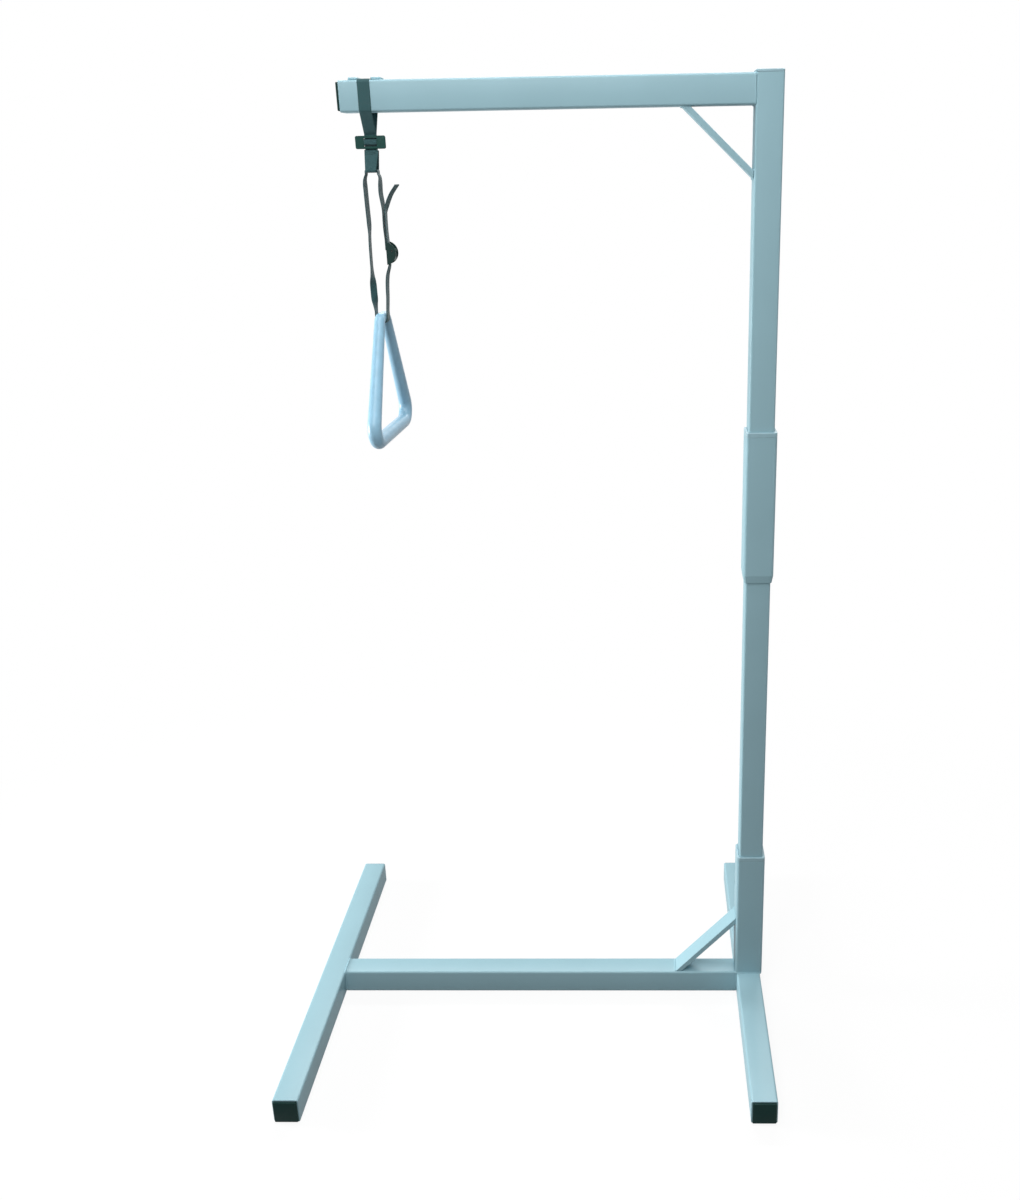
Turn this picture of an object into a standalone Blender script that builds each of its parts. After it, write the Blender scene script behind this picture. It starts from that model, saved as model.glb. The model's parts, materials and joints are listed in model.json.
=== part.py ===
"""Free-standing bed trapeze: H-shaped base, plug-together mast with an arm, and a strap with a triangular grip.

Metres, +Z up, +Y to the back. The origin is the bottom centre of the whole part.
"""
import math

import bmesh
import bpy
from mathutils import Matrix, Vector

# Base and arm tubes
FRAME_TUBE = 0.052
FRAME_WALL = 0.0028
TUBE_CORNER = 0.004
FOOT_LENGTH = 0.846
FOOT_SPACING = 0.939
ARM_REACH = 0.75075
# Mast tubes and the sockets that they stand in
LOWER_MAST_TUBE = 0.050
UPPER_MAST_TUBE = 0.050
MAST_WALL = 0.0015
MAST_CORNER = 0.004
SOCKET_WALL = 0.002
SOCKET_CORNER = 0.006
LINER_GAP = 0.003
STUB_TOP = 0.341
SLEEVE_BOTTOM = 0.979
SLEEVE_TOP = 1.272
NECK_TAPER = 0.016
SPLICE_HEIGHT = 1.120
MAST_TOP = 1.911
# Flat bar braces
BRACE_WIDTH = 0.045
BRACE_THICKNESS = 0.0105
BASE_BRACE_RUN = 0.1332
BASE_BRACE_RISE = 0.1402
ARM_BRACE_RUN = 0.1279
ARM_BRACE_DROP = 0.1225
# Plastic plugs and guide bushes
CAP_FLANGE = 0.0047
CAP_EDGE = 0.0012
CAP_LAP = 0.0003
CAP_CORNER = 0.0023
PLUG_DEPTH = 0.014
PLUG_WALL = 0.002
FIN_DEPTH = 0.0008
FIN_COUNT = 3
BUSH_FLANGE = 0.0095
BUSH_LINER = 0.030
# Clamp screws at the rear of the sockets
LOWER_LOCK_HEIGHT = 0.290
UPPER_LOCK_HEIGHT = 1.220
SCREW_RADIUS = 0.004
SCREW_REACH = 0.026
SCREW_CHAMFER = 0.0005
PAD_RADIUS = 0.0034
PAD_THICKNESS = 0.001
NUT_RADIUS = 0.0075
NUT_LENGTH = 0.0085
KNOB_RADIUS = 0.0175
KNOB_LOBE = 0.002
KNOB_LOBES = 5
KNOB_THICKNESS = 0.013
KNOB_EDGE = 0.0022
KNOB_HUB_RADIUS = 0.0085
KNOB_HUB_LENGTH = 0.005
# Strap stops on the arm
STOP_LENGTH = 0.0165
STOP_DEPTH = 0.036
STOP_HEIGHT = 0.0045
STOP_EDGE = 0.0015
STOP_SIDE_GAP = 0.0006
# Upper webbing and its slide buckle
WEBBING_THICKNESS = 0.0018
HANGER_WIDTH = 0.022
STRAP_INSET = 0.0446
VEE_DEPTH = 0.036
HANGER_TOP_GAP = 0.0007
SLIDE_WIDTH = 0.0543
SLIDE_HEIGHT = 0.0222
SLIDE_THICKNESS = 0.004
SLIDE_CORNER = 0.003
SLIDE_EDGE = 0.0008
SLIDE_RAIL = 0.004
SLIDE_BAR_HEIGHT = 0.004
SLIDE_BAR_THICKNESS = 0.002
SLIDE_DROP = 0.0133
SLOT_SIDE_GAP = 0.0006
# Eye at the lower end of the upper webbing
EYE_DROP = 0.0620
EYE_NECK_DROP = 0.0270
EYE_SHIFT = -0.0021
EYE_WIDTH = 0.0184
EYE_CORNER = 0.0015
SLEEVE_WEB_THICKNESS = 0.0012
EYE_SLEEVE_WIDTH = 0.0252
# Adjusting loop
LOOP_WIDTH = 0.020
LOOP_LENGTH = 0.2591
LOOP_BEND = 0.002
LOOP_END_DROP = 0.0032
BIGHT_RISE = 0.0118
STRAND_LEAD = 0.0015
TWIST_START = 0.69
TWIST_END = 0.97
TWIST_PINCH = 0.30
# Cam buckle
BUCKLE_DROP = 0.1437
BUCKLE_ACROSS = 0.0166
BUCKLE_HEIGHT = 0.0406
BUCKLE_BULGE = 0.0172
BUCKLE_WIDTH = 0.026
BUCKLE_CHEEK = 0.0016
BUCKLE_PLATE = 0.0013
BUCKLE_SEAM = 0.015
PIN_RADIUS = 0.0015
PIN_OUT = 0.0104
PIN_UP = 0.0037
PIN_CHAMFER = 0.0003
CAM_RADIUS = 0.0048
CAM_TAB_LENGTH = 0.0165
CAM_TAB_THICKNESS = 0.0026
CAM_TAB_OUT = 0.0030
CAM_TAB_FLARE = 0.0012
CAM_TAB_ROOT = 0.0020
CAM_SLOT = 0.0066
CAM_ROOM = 0.02
CAM_FACETS = 20
CAM_FIRST_ANGLE = -40
CAM_FACET_ANGLE = 11.5
CAM_NOSE_ANGLE = 176
CAM_NOSE_POWER = 6
SPRING_RADIUS = 0.0032
SPRING_WIRE = 0.0004
SPRING_TURNS = 4
TAIL_LENGTH = 0.0485
TAIL_LEAN = 0.0236
# How far above the buckle the tail passes, and how far off the upper strand
TAIL_COURSE = ((0.016, 0.0009), (0.028, 0.0009), (0.040, 0.0010), (0.050, 0.0014))
MOUTH_LEAD = 0.002
# Sideways pushes of the strands at shares of their length
LEFT_PUSHES = (
    (0.05, -0.0025), (0.25, -0.0007), (0.38, 0.0003), (0.51, -0.0010), (0.67, -0.0021), (0.80, -0.0008),
)
UPPER_PUSHES = ((0.07, 0.0034), (0.28, 0.0024), (0.48, 0.0030), (0.78, 0.0010))
LOWER_PUSHES = ((0.10, -0.0045), (0.26, -0.0047), (0.72, -0.0022))
TAIL_PUSHES = ((0.24, -0.0018), (0.64, -0.0016))
# Triangular grip
GRIP_SHIFT = -0.0025
GRIP_HEIGHT = 0.2156
GRIP_TOP_HALF = 0.0205
GRIP_BOTTOM_HALF = 0.141
GRIP_TOP_RADIUS = 0.0098
GRIP_BOTTOM_RADIUS = 0.0133
GRIP_TOP_BEND = 0.0125
GRIP_BOTTOM_BEND = 0.027
GRIP_YAW = math.radians(2.5)
# Gap between pieces that touch, and running clearance on pins
GAP = 0.0003
PIN_CLEARANCE = 0.0003
# How far a cutter reaches past the face that it opens
CUT_OVER = 0.002
# Facets
CORNER_SEGMENTS = 6
ROUND_SEGMENTS = 24
BEND_STEPS = 6

# Sizes and places that follow from the ones above
STUB_TUBE = LOWER_MAST_TUBE + 2 * (LINER_GAP + SOCKET_WALL)
SLEEVE_TUBE = UPPER_MAST_TUBE + 2 * (LINER_GAP + SOCKET_WALL)
FRAME_CAP = FRAME_TUBE - 2 * (FRAME_WALL - CAP_LAP)
OVERALL_WIDTH = FRAME_TUBE / 2 + FOOT_SPACING + SLEEVE_TUBE / 2
FOOT_X = FRAME_TUBE / 2 - OVERALL_WIDTH / 2
MAST_X = FOOT_X + FOOT_SPACING
FOOT_TOP = FRAME_TUBE
ARM_BOTTOM = MAST_TOP - FRAME_TUBE
LOCK_RADIUS = SCREW_RADIUS + PIN_CLEARANCE
ARM_END_X = MAST_X - ARM_REACH
STRAP_X = ARM_END_X + STRAP_INSET
STRAP_LIFT = GAP + WEBBING_THICKNESS / 2
LAYER_Y = WEBBING_THICKNESS / 2 + 2 * GAP / 3
HANGER_TOP = ARM_BOTTOM - VEE_DEPTH
SLIDE_Z = HANGER_TOP - SLIDE_DROP
RAIL_FRONT_Y = -LAYER_Y - WEBBING_THICKNESS / 2 - GAP - SLIDE_THICKNESS
EYE_X = STRAP_X + EYE_SHIFT
EYE_Z = HANGER_TOP - EYE_DROP
EYE_NECK_Z = HANGER_TOP - EYE_NECK_DROP
EYE_HALF_Y = LOOP_WIDTH / 2 + GAP + WEBBING_THICKNESS / 2 + GAP
LOOP_TOP_Z = EYE_Z + WEBBING_THICKNESS + GAP
LOOP_HALF = EYE_WIDTH / 2 + 2 * GAP + GAP + WEBBING_THICKNESS / 2
LOOP_END_Z = EYE_Z - LOOP_END_DROP
GRIP_X = EYE_X + GRIP_SHIFT
GRIP_Z = LOOP_TOP_Z - LOOP_LENGTH
BIGHT_RADIUS = GRIP_TOP_RADIUS + GAP + WEBBING_THICKNESS / 2
BIGHT_TOP_Z = GRIP_Z + BIGHT_RISE
PLATE_X = EYE_X + BUCKLE_ACROSS
BUCKLE_Z = LOOP_TOP_Z - BUCKLE_DROP
BUCKLE_BOTTOM_Z = BUCKLE_Z - BUCKLE_HEIGHT / 2
BUCKLE_TOP_Z = BUCKLE_Z + BUCKLE_HEIGHT / 2
THREAD_X = PLATE_X + BUCKLE_PLATE + GAP + WEBBING_THICKNESS / 2
PIN_X = PLATE_X + PIN_OUT
PIN_Z = BUCKLE_Z + PIN_UP

# Colour, roughness and metallic value of each finish
FINISHES = {
    "coat": ((0.45, 0.58, 0.62, 1), 0.38, 0.0),
    "cap": ((0.03, 0.04, 0.04, 1), 0.55, 0.0),
    "bush": ((0.55, 0.66, 0.69, 1), 0.45, 0.0),
    "steel": ((0.62, 0.63, 0.64, 1), 0.30, 1.0),
    "webbing": ((0.05, 0.11, 0.11, 1), 0.85, 0.0),
    "buckle": ((0.03, 0.06, 0.06, 1), 0.45, 0.0),
    "grip": ((0.50, 0.68, 0.76, 1), 0.40, 0.0),
}


def clear_scene():
    """Start from an empty scene."""
    for item in list(bpy.data.objects):
        bpy.data.objects.remove(item, do_unlink=True)


def new_collection(name):
    """A collection linked to the scene."""
    found = bpy.data.collections.get(name)
    if found is None:
        found = bpy.data.collections.new(name)
        bpy.context.scene.collection.children.link(found)
    return found


clear_scene()
PARTS = new_collection("bed_trapeze")
GUIDES = new_collection("cutters")
BODIES = {}


def make_material(name, finish):
    """A Principled material for one piece."""
    colour, roughness, metallic = FINISHES[finish]
    material = bpy.data.materials.new(name)
    material.use_nodes = True
    shader = material.node_tree.nodes["Principled BSDF"]
    shader.inputs["Base Color"].default_value = colour
    shader.inputs["Roughness"].default_value = roughness
    shader.inputs["Metallic"].default_value = metallic
    material.diffuse_color = colour
    return material


def add_body(name, at, parent=None):
    """An empty on the axis of a moving body."""
    empty = bpy.data.objects.new(name, None)
    empty.empty_display_size = 0.03
    PARTS.objects.link(empty)
    at = Vector(at)
    BODIES[name] = (empty, at)
    if parent:
        holder, holder_at = BODIES[parent]
        empty.parent = holder
        empty.location = at - holder_at
    else:
        empty.location = at
    return empty


def add_object(name, mesh, finish, at, body, turn=(0, 0, 0)):
    """One named piece, placed in the part's frame and parented to its body."""
    piece = bpy.data.objects.new(name, mesh)
    PARTS.objects.link(piece)
    mesh.materials.clear()
    mesh.materials.append(make_material(name, finish))
    holder, holder_at = BODIES[body]
    piece.parent = holder
    piece.location = Vector(at) - holder_at
    piece.rotation_euler = turn
    return piece


def add_shape(name, shape, finish, at, body, turn=(0, 0, 0), smooth=True):
    """A piece from a bmesh."""
    mesh = bpy.data.meshes.new(name)
    bmesh.ops.recalc_face_normals(shape, faces=shape.faces)
    shape.to_mesh(mesh)
    shape.free()
    if smooth:
        mesh.shade_smooth()
        mesh.set_sharp_from_angle(angle=math.radians(35))
    return add_object(name, mesh, finish, at, body, turn)


def add_guide(shape, at, turn=(0, 0, 0)):
    """A hidden solid that cuts or joins another piece."""
    mesh = bpy.data.meshes.new("guide")
    bmesh.ops.recalc_face_normals(shape, faces=shape.faces)
    shape.to_mesh(mesh)
    shape.free()
    guide = bpy.data.objects.new("guide", mesh)
    GUIDES.objects.link(guide)
    guide.location = at
    guide.rotation_euler = turn
    guide.hide_render = True
    guide.display_type = "WIRE"
    return guide


def boolean(piece, guide, operation):
    """Cut or join a piece with a guide."""
    modifier = piece.modifiers.new(operation.lower(), "BOOLEAN")
    modifier.operation = operation
    modifier.solver = "EXACT"
    modifier.object = guide
    return modifier


def box(size, centre=(0, 0, 0), edge=0.0, segments=2, upright_only=False):
    """A box, with all its edges or only its upright ones rounded."""
    shape = bmesh.new()
    bmesh.ops.create_cube(shape, size=1.0)
    bmesh.ops.scale(shape, vec=size, verts=shape.verts)
    if edge:
        edges = list(shape.edges)
        if upright_only:
            edges = [e for e in edges if abs(e.verts[0].co.z - e.verts[1].co.z) > size[2] / 2]
        bmesh.ops.bevel(
            shape, geom=edges, offset=edge, offset_type="OFFSET",
            segments=segments, profile=0.5, affect="EDGES",
        )
    bmesh.ops.translate(shape, vec=centre, verts=shape.verts)
    return shape


def cylinder(radius, length, start=0.0, segments=ROUND_SEGMENTS, tip=0.0):
    """A cylinder along Z from start, with chamfered ends where a tip is given."""
    shape = bmesh.new()
    bmesh.ops.create_cone(
        shape, cap_ends=True, segments=segments, radius1=radius, radius2=radius, depth=length,
    )
    bmesh.ops.translate(shape, vec=(0, 0, start + length / 2), verts=shape.verts)
    if tip:
        rims = [e for e in shape.edges if abs(e.verts[0].co.z - e.verts[1].co.z) < length / 2]
        bmesh.ops.bevel(
            shape, geom=rims, offset=tip, offset_type="OFFSET", segments=1, profile=0.5, affect="EDGES",
        )
    return shape


def square_tube(name, width, wall, corner, length, at, body, turn=(0, 0, 0)):
    """An open square tube along local Z, thickened inwards."""
    shape = box((width, width, length), (0, 0, length / 2))
    ends = [f for f in shape.faces if abs(f.normal.z) > 0.5]
    bmesh.ops.delete(shape, geom=ends, context="FACES_ONLY")
    long_edges = [e for e in shape.edges if abs(e.verts[0].co.z - e.verts[1].co.z) > length / 2]
    bmesh.ops.bevel(
        shape, geom=long_edges, offset=corner, offset_type="OFFSET",
        segments=CORNER_SEGMENTS, profile=0.5, affect="EDGES",
    )
    tube = add_shape(name, shape, "coat", at, body, turn)
    thicken(tube, wall, -1)
    return tube


def thicken(piece, thickness, offset):
    """Give an open surface its wall."""
    solid = piece.modifiers.new("wall", "SOLIDIFY")
    solid.thickness = thickness
    solid.offset = offset
    solid.use_even_offset = True
    return solid


def extrude_up(shape, face, rise, grow=1.0):
    """Extrude one flat face along Z and scale the new outline about the axis."""
    made = bmesh.ops.extrude_discrete_faces(shape, faces=[face])["faces"][0]
    bmesh.ops.translate(shape, vec=(0, 0, rise), verts=made.verts)
    bmesh.ops.scale(shape, vec=(grow, grow, 1), verts=made.verts)
    return made


def end_plug(name, bore, flange, corner, finish, at, body, turn):
    """A tube's plug: a flange outside, and a hollow ribbed plug along local +Z inside the bore."""
    plug = box(
        (flange, flange, CAP_FLANGE), (0, 0, -GAP - CAP_FLANGE / 2), corner, CORNER_SEGMENTS, True,
    )
    outer = [f for f in plug.faces if f.normal.z < -0.5]
    bmesh.ops.bevel(
        plug, geom=list(outer[0].edges), offset=CAP_EDGE, offset_type="OFFSET",
        segments=2, profile=0.5, affect="EDGES",
    )
    face = max(plug.faces, key=lambda f: f.calc_center_median().z)
    fit = bore - 2 * GAP
    core = fit - 2 * FIN_DEPTH
    bmesh.ops.inset_region(plug, faces=[face], thickness=(flange - core) / 2, use_even_offset=True)
    step = PLUG_DEPTH / (2 * FIN_COUNT + 1)
    face = extrude_up(plug, face, step)
    for _ in range(FIN_COUNT):
        face = extrude_up(plug, face, step, fit / core)
        face = extrude_up(plug, face, step, core / fit)
    face = extrude_up(plug, face, 0, 1 - 2 * PLUG_WALL / core)
    extrude_up(plug, face, PLUG_WALL - PLUG_DEPTH)
    return add_shape(name, plug, finish, at, body, turn)


def guide_bush(name, mast, socket, at, body):
    """A plastic collar on a socket's mouth with a thin liner between socket and mast."""
    inner = mast + 2 * GAP
    liner = socket - 2 * SOCKET_WALL - 2 * GAP
    collar = box(
        (socket, socket, BUSH_FLANGE), (0, 0, GAP + BUSH_FLANGE / 2), SOCKET_CORNER, CORNER_SEGMENTS, True,
    )
    top = max(collar.faces, key=lambda f: f.calc_center_median().z)
    bmesh.ops.bevel(
        collar, geom=list(top.edges), offset=CAP_EDGE, offset_type="OFFSET",
        segments=2, profile=0.5, affect="EDGES",
    )
    under = min(collar.faces, key=lambda f: f.calc_center_median().z)
    bmesh.ops.inset_region(collar, faces=[under], thickness=(socket - liner) / 2, use_even_offset=True)
    extrude_up(collar, under, -BUSH_LINER)
    bush = add_shape(name, collar, "bush", at, body)
    through = BUSH_FLANGE + BUSH_LINER + 4 * GAP
    bore = box((inner, inner, 2 * through), (0, 0, 0), MAST_CORNER + GAP, CORNER_SEGMENTS, True)
    boolean(bush, add_guide(bore, at), "DIFFERENCE")
    return bush


def brace(name, run, rise, at, body, turn):
    """A flat bar across an inside corner, from a 2D outline whose corner is the local origin."""
    slope = math.atan2(rise, run)
    near_x = run - BRACE_THICKNESS / math.sin(slope)
    near_z = rise - BRACE_THICKNESS / math.cos(slope)
    outline = [(-run, GAP), (-near_x, GAP), (-GAP, near_z), (-GAP, rise)]
    mesh = outline_mesh(name, outline, BRACE_WIDTH)
    piece = add_object(name, mesh, "coat", at, body, turn)
    return piece


def outline_mesh(name, outline, thickness):
    """A flat outline in local XY, extruded along local Z about its middle."""
    curve = bpy.data.curves.new(name, "CURVE")
    curve.dimensions = "2D"
    curve.fill_mode = "BOTH"
    curve.extrude = thickness / 2
    spline = curve.splines.new("POLY")
    spline.points.add(len(outline) - 1)
    for point, (x, y) in zip(spline.points, outline):
        point.co = (x, y, 0, 1)
    spline.use_cyclic_u = True
    return welded_mesh(name, curve)


def welded_mesh(name, curve):
    """The closed mesh of a curve with its caps welded on."""
    holder = bpy.data.objects.new(name, curve)
    GUIDES.objects.link(holder)
    graph = bpy.context.evaluated_depsgraph_get()
    raw = bpy.data.meshes.new_from_object(holder.evaluated_get(graph))
    bpy.data.objects.remove(holder)
    shape = bmesh.new()
    shape.from_mesh(raw)
    bpy.data.meshes.remove(raw)
    bmesh.ops.remove_doubles(shape, verts=shape.verts, dist=0.000005)
    bmesh.ops.recalc_face_normals(shape, faces=shape.faces)
    mesh = bpy.data.meshes.new(name)
    shape.to_mesh(mesh)
    shape.free()
    return mesh


def smooth_route(points, steps=4):
    """Points on a smooth curve through the given ones."""
    points = [Vector(p) for p in points]
    before = [points[0]] + points[:-1]
    after = points[1:] + [points[-1]]
    route = []
    for i in range(len(points) - 1):
        start, end = points[i], points[i + 1]
        lead_in = (end - before[i]) / 2
        lead_out = (after[i + 1] - start) / 2
        for k in range(steps):
            t = k / steps
            route.append(
                start * (2 * t**3 - 3 * t**2 + 1) + lead_in * (t**3 - 2 * t**2 + t)
                + end * (3 * t**2 - 2 * t**3) + lead_out * (t**3 - t**2)
            )
    route.append(points[-1])
    return route


def arc(centre, radius, start, end, steps=BEND_STEPS):
    """Points of an arc in a plane, as pairs, angles in degrees."""
    points = []
    for k in range(steps + 1):
        angle = math.radians(start + (end - start) * k / steps)
        points.append((centre[0] + radius * math.cos(angle), centre[1] + radius * math.sin(angle)))
    return points


def webbing(name, stations, body, thickness=WEBBING_THICKNESS):
    """Flat webbing: a grid laid along its stations, each a middle point and half its width as a vector."""
    count = len(stations) - 1
    shape = bmesh.new()
    bmesh.ops.create_grid(shape, x_segments=1, y_segments=count, size=1)
    for vert in shape.verts:
        middle, half = stations[round((vert.co.y + 1) / 2 * count)]
        vert.co = Vector(middle) + Vector(half) * round(vert.co.x)
    origin = BODIES[body][1]
    bmesh.ops.translate(shape, vec=-origin, verts=shape.verts)
    mesh = bpy.data.meshes.new(name)
    shape.to_mesh(mesh)
    shape.free()
    mesh.shade_smooth()
    piece = add_object(name, mesh, "webbing", origin, body)
    thicken(piece, thickness, 0)
    return piece


def offset_route(route, distance):
    """A route of pairs moved sideways by a distance, to the right of its direction."""
    moved = []
    for i, point in enumerate(route):
        before = Vector(route[max(i - 1, 0)])
        after = Vector(route[min(i + 1, len(route) - 1)])
        here = Vector(point)
        first = (here - before).normalized() if i else (after - here).normalized()
        second = (after - here).normalized() if i < len(route) - 1 else first
        along = (first + second).normalized()
        side = Vector((along.y, -along.x))
        spread = max(along.dot(second), 0.5)
        moved.append(tuple(here + side * (distance / spread)))
    return moved


def build_base():
    """Feet, beam, stub, brace, end plugs and the stub's bush."""
    add_body("base_frame", (0, 0, 0))
    along_y = (-math.pi / 2, 0, 0)
    for side, x in (("left", FOOT_X), ("right", MAST_X)):
        square_tube(
            f"{side}_cross_foot", FRAME_TUBE, FRAME_WALL, TUBE_CORNER, FOOT_LENGTH,
            (x, -FOOT_LENGTH / 2, FRAME_TUBE / 2), "base_frame", along_y,
        )
        for end, sign in (("front", -1), ("rear", 1)):
            end_plug(
                f"{side}_{end}_foot_cap", FRAME_TUBE - 2 * FRAME_WALL, FRAME_CAP, CAP_CORNER, "cap",
                (x, sign * FOOT_LENGTH / 2, FRAME_TUBE / 2), "base_frame", (sign * math.pi / 2, 0, 0),
            )
    square_tube(
        "base_beam", FRAME_TUBE, FRAME_WALL, TUBE_CORNER, FOOT_SPACING - FRAME_TUBE - 2 * GAP,
        (FOOT_X + FRAME_TUBE / 2 + GAP, 0, FRAME_TUBE / 2), "base_frame", (0, math.pi / 2, 0),
    )
    stub = square_tube(
        "mast_stub", STUB_TUBE, SOCKET_WALL, SOCKET_CORNER, STUB_TOP - FOOT_TOP - GAP,
        (MAST_X, 0, FOOT_TOP + GAP), "base_frame",
    )
    screw_hole(stub, STUB_TUBE, LOWER_LOCK_HEIGHT)
    guide_bush("stub_guide_bush", LOWER_MAST_TUBE, STUB_TUBE, (MAST_X, 0, STUB_TOP), "base_frame")
    brace(
        "base_brace", BASE_BRACE_RUN, BASE_BRACE_RISE, (MAST_X - STUB_TUBE / 2, 0, FOOT_TOP),
        "base_frame", (math.pi / 2, 0, 0),
    )


def screw_hole(socket, width, height):
    """The clamp screw's hole through the rear wall of a socket tube."""
    cutter = cylinder(LOCK_RADIUS, 8 * SOCKET_WALL)
    boolean(
        socket, add_guide(cutter, (MAST_X, width / 2 - 4 * SOCKET_WALL, height), (-math.pi / 2, 0, 0)),
        "DIFFERENCE",
    )


def build_lock(prefix, mast, socket, height, holder):
    """Weld nut, pressure pad, screw and star knob at the rear of a socket."""
    backwards = (-math.pi / 2, 0, 0)
    face = (MAST_X, socket / 2 + GAP, height)
    nut = add_shape(
        f"{prefix}_lock_nut", cylinder(NUT_RADIUS, NUT_LENGTH, segments=6), "coat", face, holder, backwards,
    )
    bore = cylinder(LOCK_RADIUS, NUT_LENGTH + 2 * CUT_OVER, start=-CUT_OVER)
    boolean(nut, add_guide(bore, face, backwards), "DIFFERENCE")
    pad_at = Vector((MAST_X, mast / 2 + GAP, height))
    add_body(f"{prefix}_lock_pad_body", pad_at, holder)
    add_shape(
        f"{prefix}_lock_pad", cylinder(PAD_RADIUS, PAD_THICKNESS, segments=16), "steel", pad_at,
        f"{prefix}_lock_pad_body", backwards,
    )
    tip = pad_at + Vector((0, PAD_THICKNESS + GAP, 0))
    add_body(f"{prefix}_lock_knob_body", tip, f"{prefix}_lock_pad_body")
    add_shape(
        f"{prefix}_lock_screw", cylinder(SCREW_RADIUS, SCREW_REACH, segments=20, tip=SCREW_CHAMFER),
        "steel", tip, f"{prefix}_lock_knob_body", backwards,
    )
    knob_at = Vector(face) + Vector((0, NUT_LENGTH + GAP, 0))
    knob = add_shape(
        f"{prefix}_lock_knob", star_plate(), "cap", knob_at, f"{prefix}_lock_knob_body", backwards,
    )
    hub = cylinder(KNOB_HUB_RADIUS, 2 * KNOB_HUB_LENGTH)
    boolean(knob, add_guide(hub, knob_at, backwards), "UNION")
    depth = SCREW_REACH - (knob_at.y - tip.y) + GAP
    socket_hole = cylinder(LOCK_RADIUS, depth + CUT_OVER, start=-CUT_OVER)
    boolean(knob, add_guide(socket_hole, knob_at, backwards), "DIFFERENCE")


def star_plate():
    """The knob's lobed body, in front of its hub."""
    shape = bmesh.new()
    segments = 12 * KNOB_LOBES
    bmesh.ops.create_circle(shape, cap_ends=True, segments=segments, radius=KNOB_RADIUS)
    for vert in shape.verts:
        angle = math.atan2(vert.co.y, vert.co.x)
        vert.co *= 1 + KNOB_LOBE / KNOB_RADIUS * math.cos(KNOB_LOBES * angle)
    bottom = shape.faces[:][0]
    top = bmesh.ops.extrude_face_region(shape, geom=[bottom])["geom"]
    lifted = [g for g in top if isinstance(g, bmesh.types.BMVert)]
    bmesh.ops.translate(shape, vec=(0, 0, KNOB_THICKNESS), verts=lifted)
    rims = [e for e in shape.edges if abs(e.verts[0].co.z - e.verts[1].co.z) < KNOB_THICKNESS / 2]
    bmesh.ops.bevel(
        shape, geom=rims, offset=KNOB_EDGE, offset_type="OFFSET", segments=2, profile=0.5, affect="EDGES",
    )
    bmesh.ops.translate(shape, vec=(0, 0, KNOB_HUB_LENGTH), verts=shape.verts)
    return shape


def build_lower_mast():
    """Lower mast, coupling sleeve with its tapered neck, spacer and bush."""
    add_body("lower_mast_body", (MAST_X, 0, FOOT_TOP + GAP), "base_frame")
    square_tube(
        "lower_mast", LOWER_MAST_TUBE, MAST_WALL, MAST_CORNER, SPLICE_HEIGHT - FOOT_TOP - GAP,
        (MAST_X, 0, FOOT_TOP + GAP), "lower_mast_body",
    )
    build_sleeve()
    spacer_bottom = SLEEVE_BOTTOM + NECK_TAPER + 3 * GAP
    spacer = SLEEVE_TUBE - 2 * SOCKET_WALL - 2 * GAP
    wall = (spacer - LOWER_MAST_TUBE) / 2 - GAP
    square_tube(
        "sleeve_spacer", spacer, wall, MAST_CORNER + GAP + wall, SPLICE_HEIGHT - spacer_bottom,
        (MAST_X, 0, spacer_bottom), "lower_mast_body",
    )
    guide_bush("sleeve_guide_bush", UPPER_MAST_TUBE, SLEEVE_TUBE, (MAST_X, 0, SLEEVE_TOP), "lower_mast_body")


def build_sleeve():
    """The sleeve is a solid outline with a tapered foot, bored for each mast tube."""
    height = SLEEVE_TOP - SLEEVE_BOTTOM
    shape = box(
        (SLEEVE_TUBE, SLEEVE_TUBE, height - NECK_TAPER), (0, 0, (height + NECK_TAPER) / 2), SOCKET_CORNER,
        CORNER_SEGMENTS, True,
    )
    under = min(shape.faces, key=lambda f: f.calc_center_median().z)
    neck = LOWER_MAST_TUBE + 2 * GAP + 2 * SOCKET_WALL
    extrude_up(shape, under, -NECK_TAPER, neck / SLEEVE_TUBE)
    sleeve = add_shape(
        "coupling_sleeve", shape, "coat", (MAST_X, 0, SLEEVE_BOTTOM), "lower_mast_body",
    )
    seat = LOWER_MAST_TUBE + 2 * GAP
    neck_bore = box((seat, seat, 4 * NECK_TAPER), (0, 0, 0), MAST_CORNER + GAP, CORNER_SEGMENTS, True)
    boolean(sleeve, add_guide(neck_bore, (MAST_X, 0, SLEEVE_BOTTOM)), "DIFFERENCE")
    bore = SLEEVE_TUBE - 2 * SOCKET_WALL
    wide_bore = box(
        (bore, bore, height), (0, 0, height / 2), SOCKET_CORNER - SOCKET_WALL, CORNER_SEGMENTS, True,
    )
    boolean(sleeve, add_guide(wide_bore, (MAST_X, 0, SLEEVE_BOTTOM + NECK_TAPER + 2 * GAP)), "DIFFERENCE")
    screw_hole(sleeve, SLEEVE_TUBE, UPPER_LOCK_HEIGHT)
    return sleeve


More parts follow.
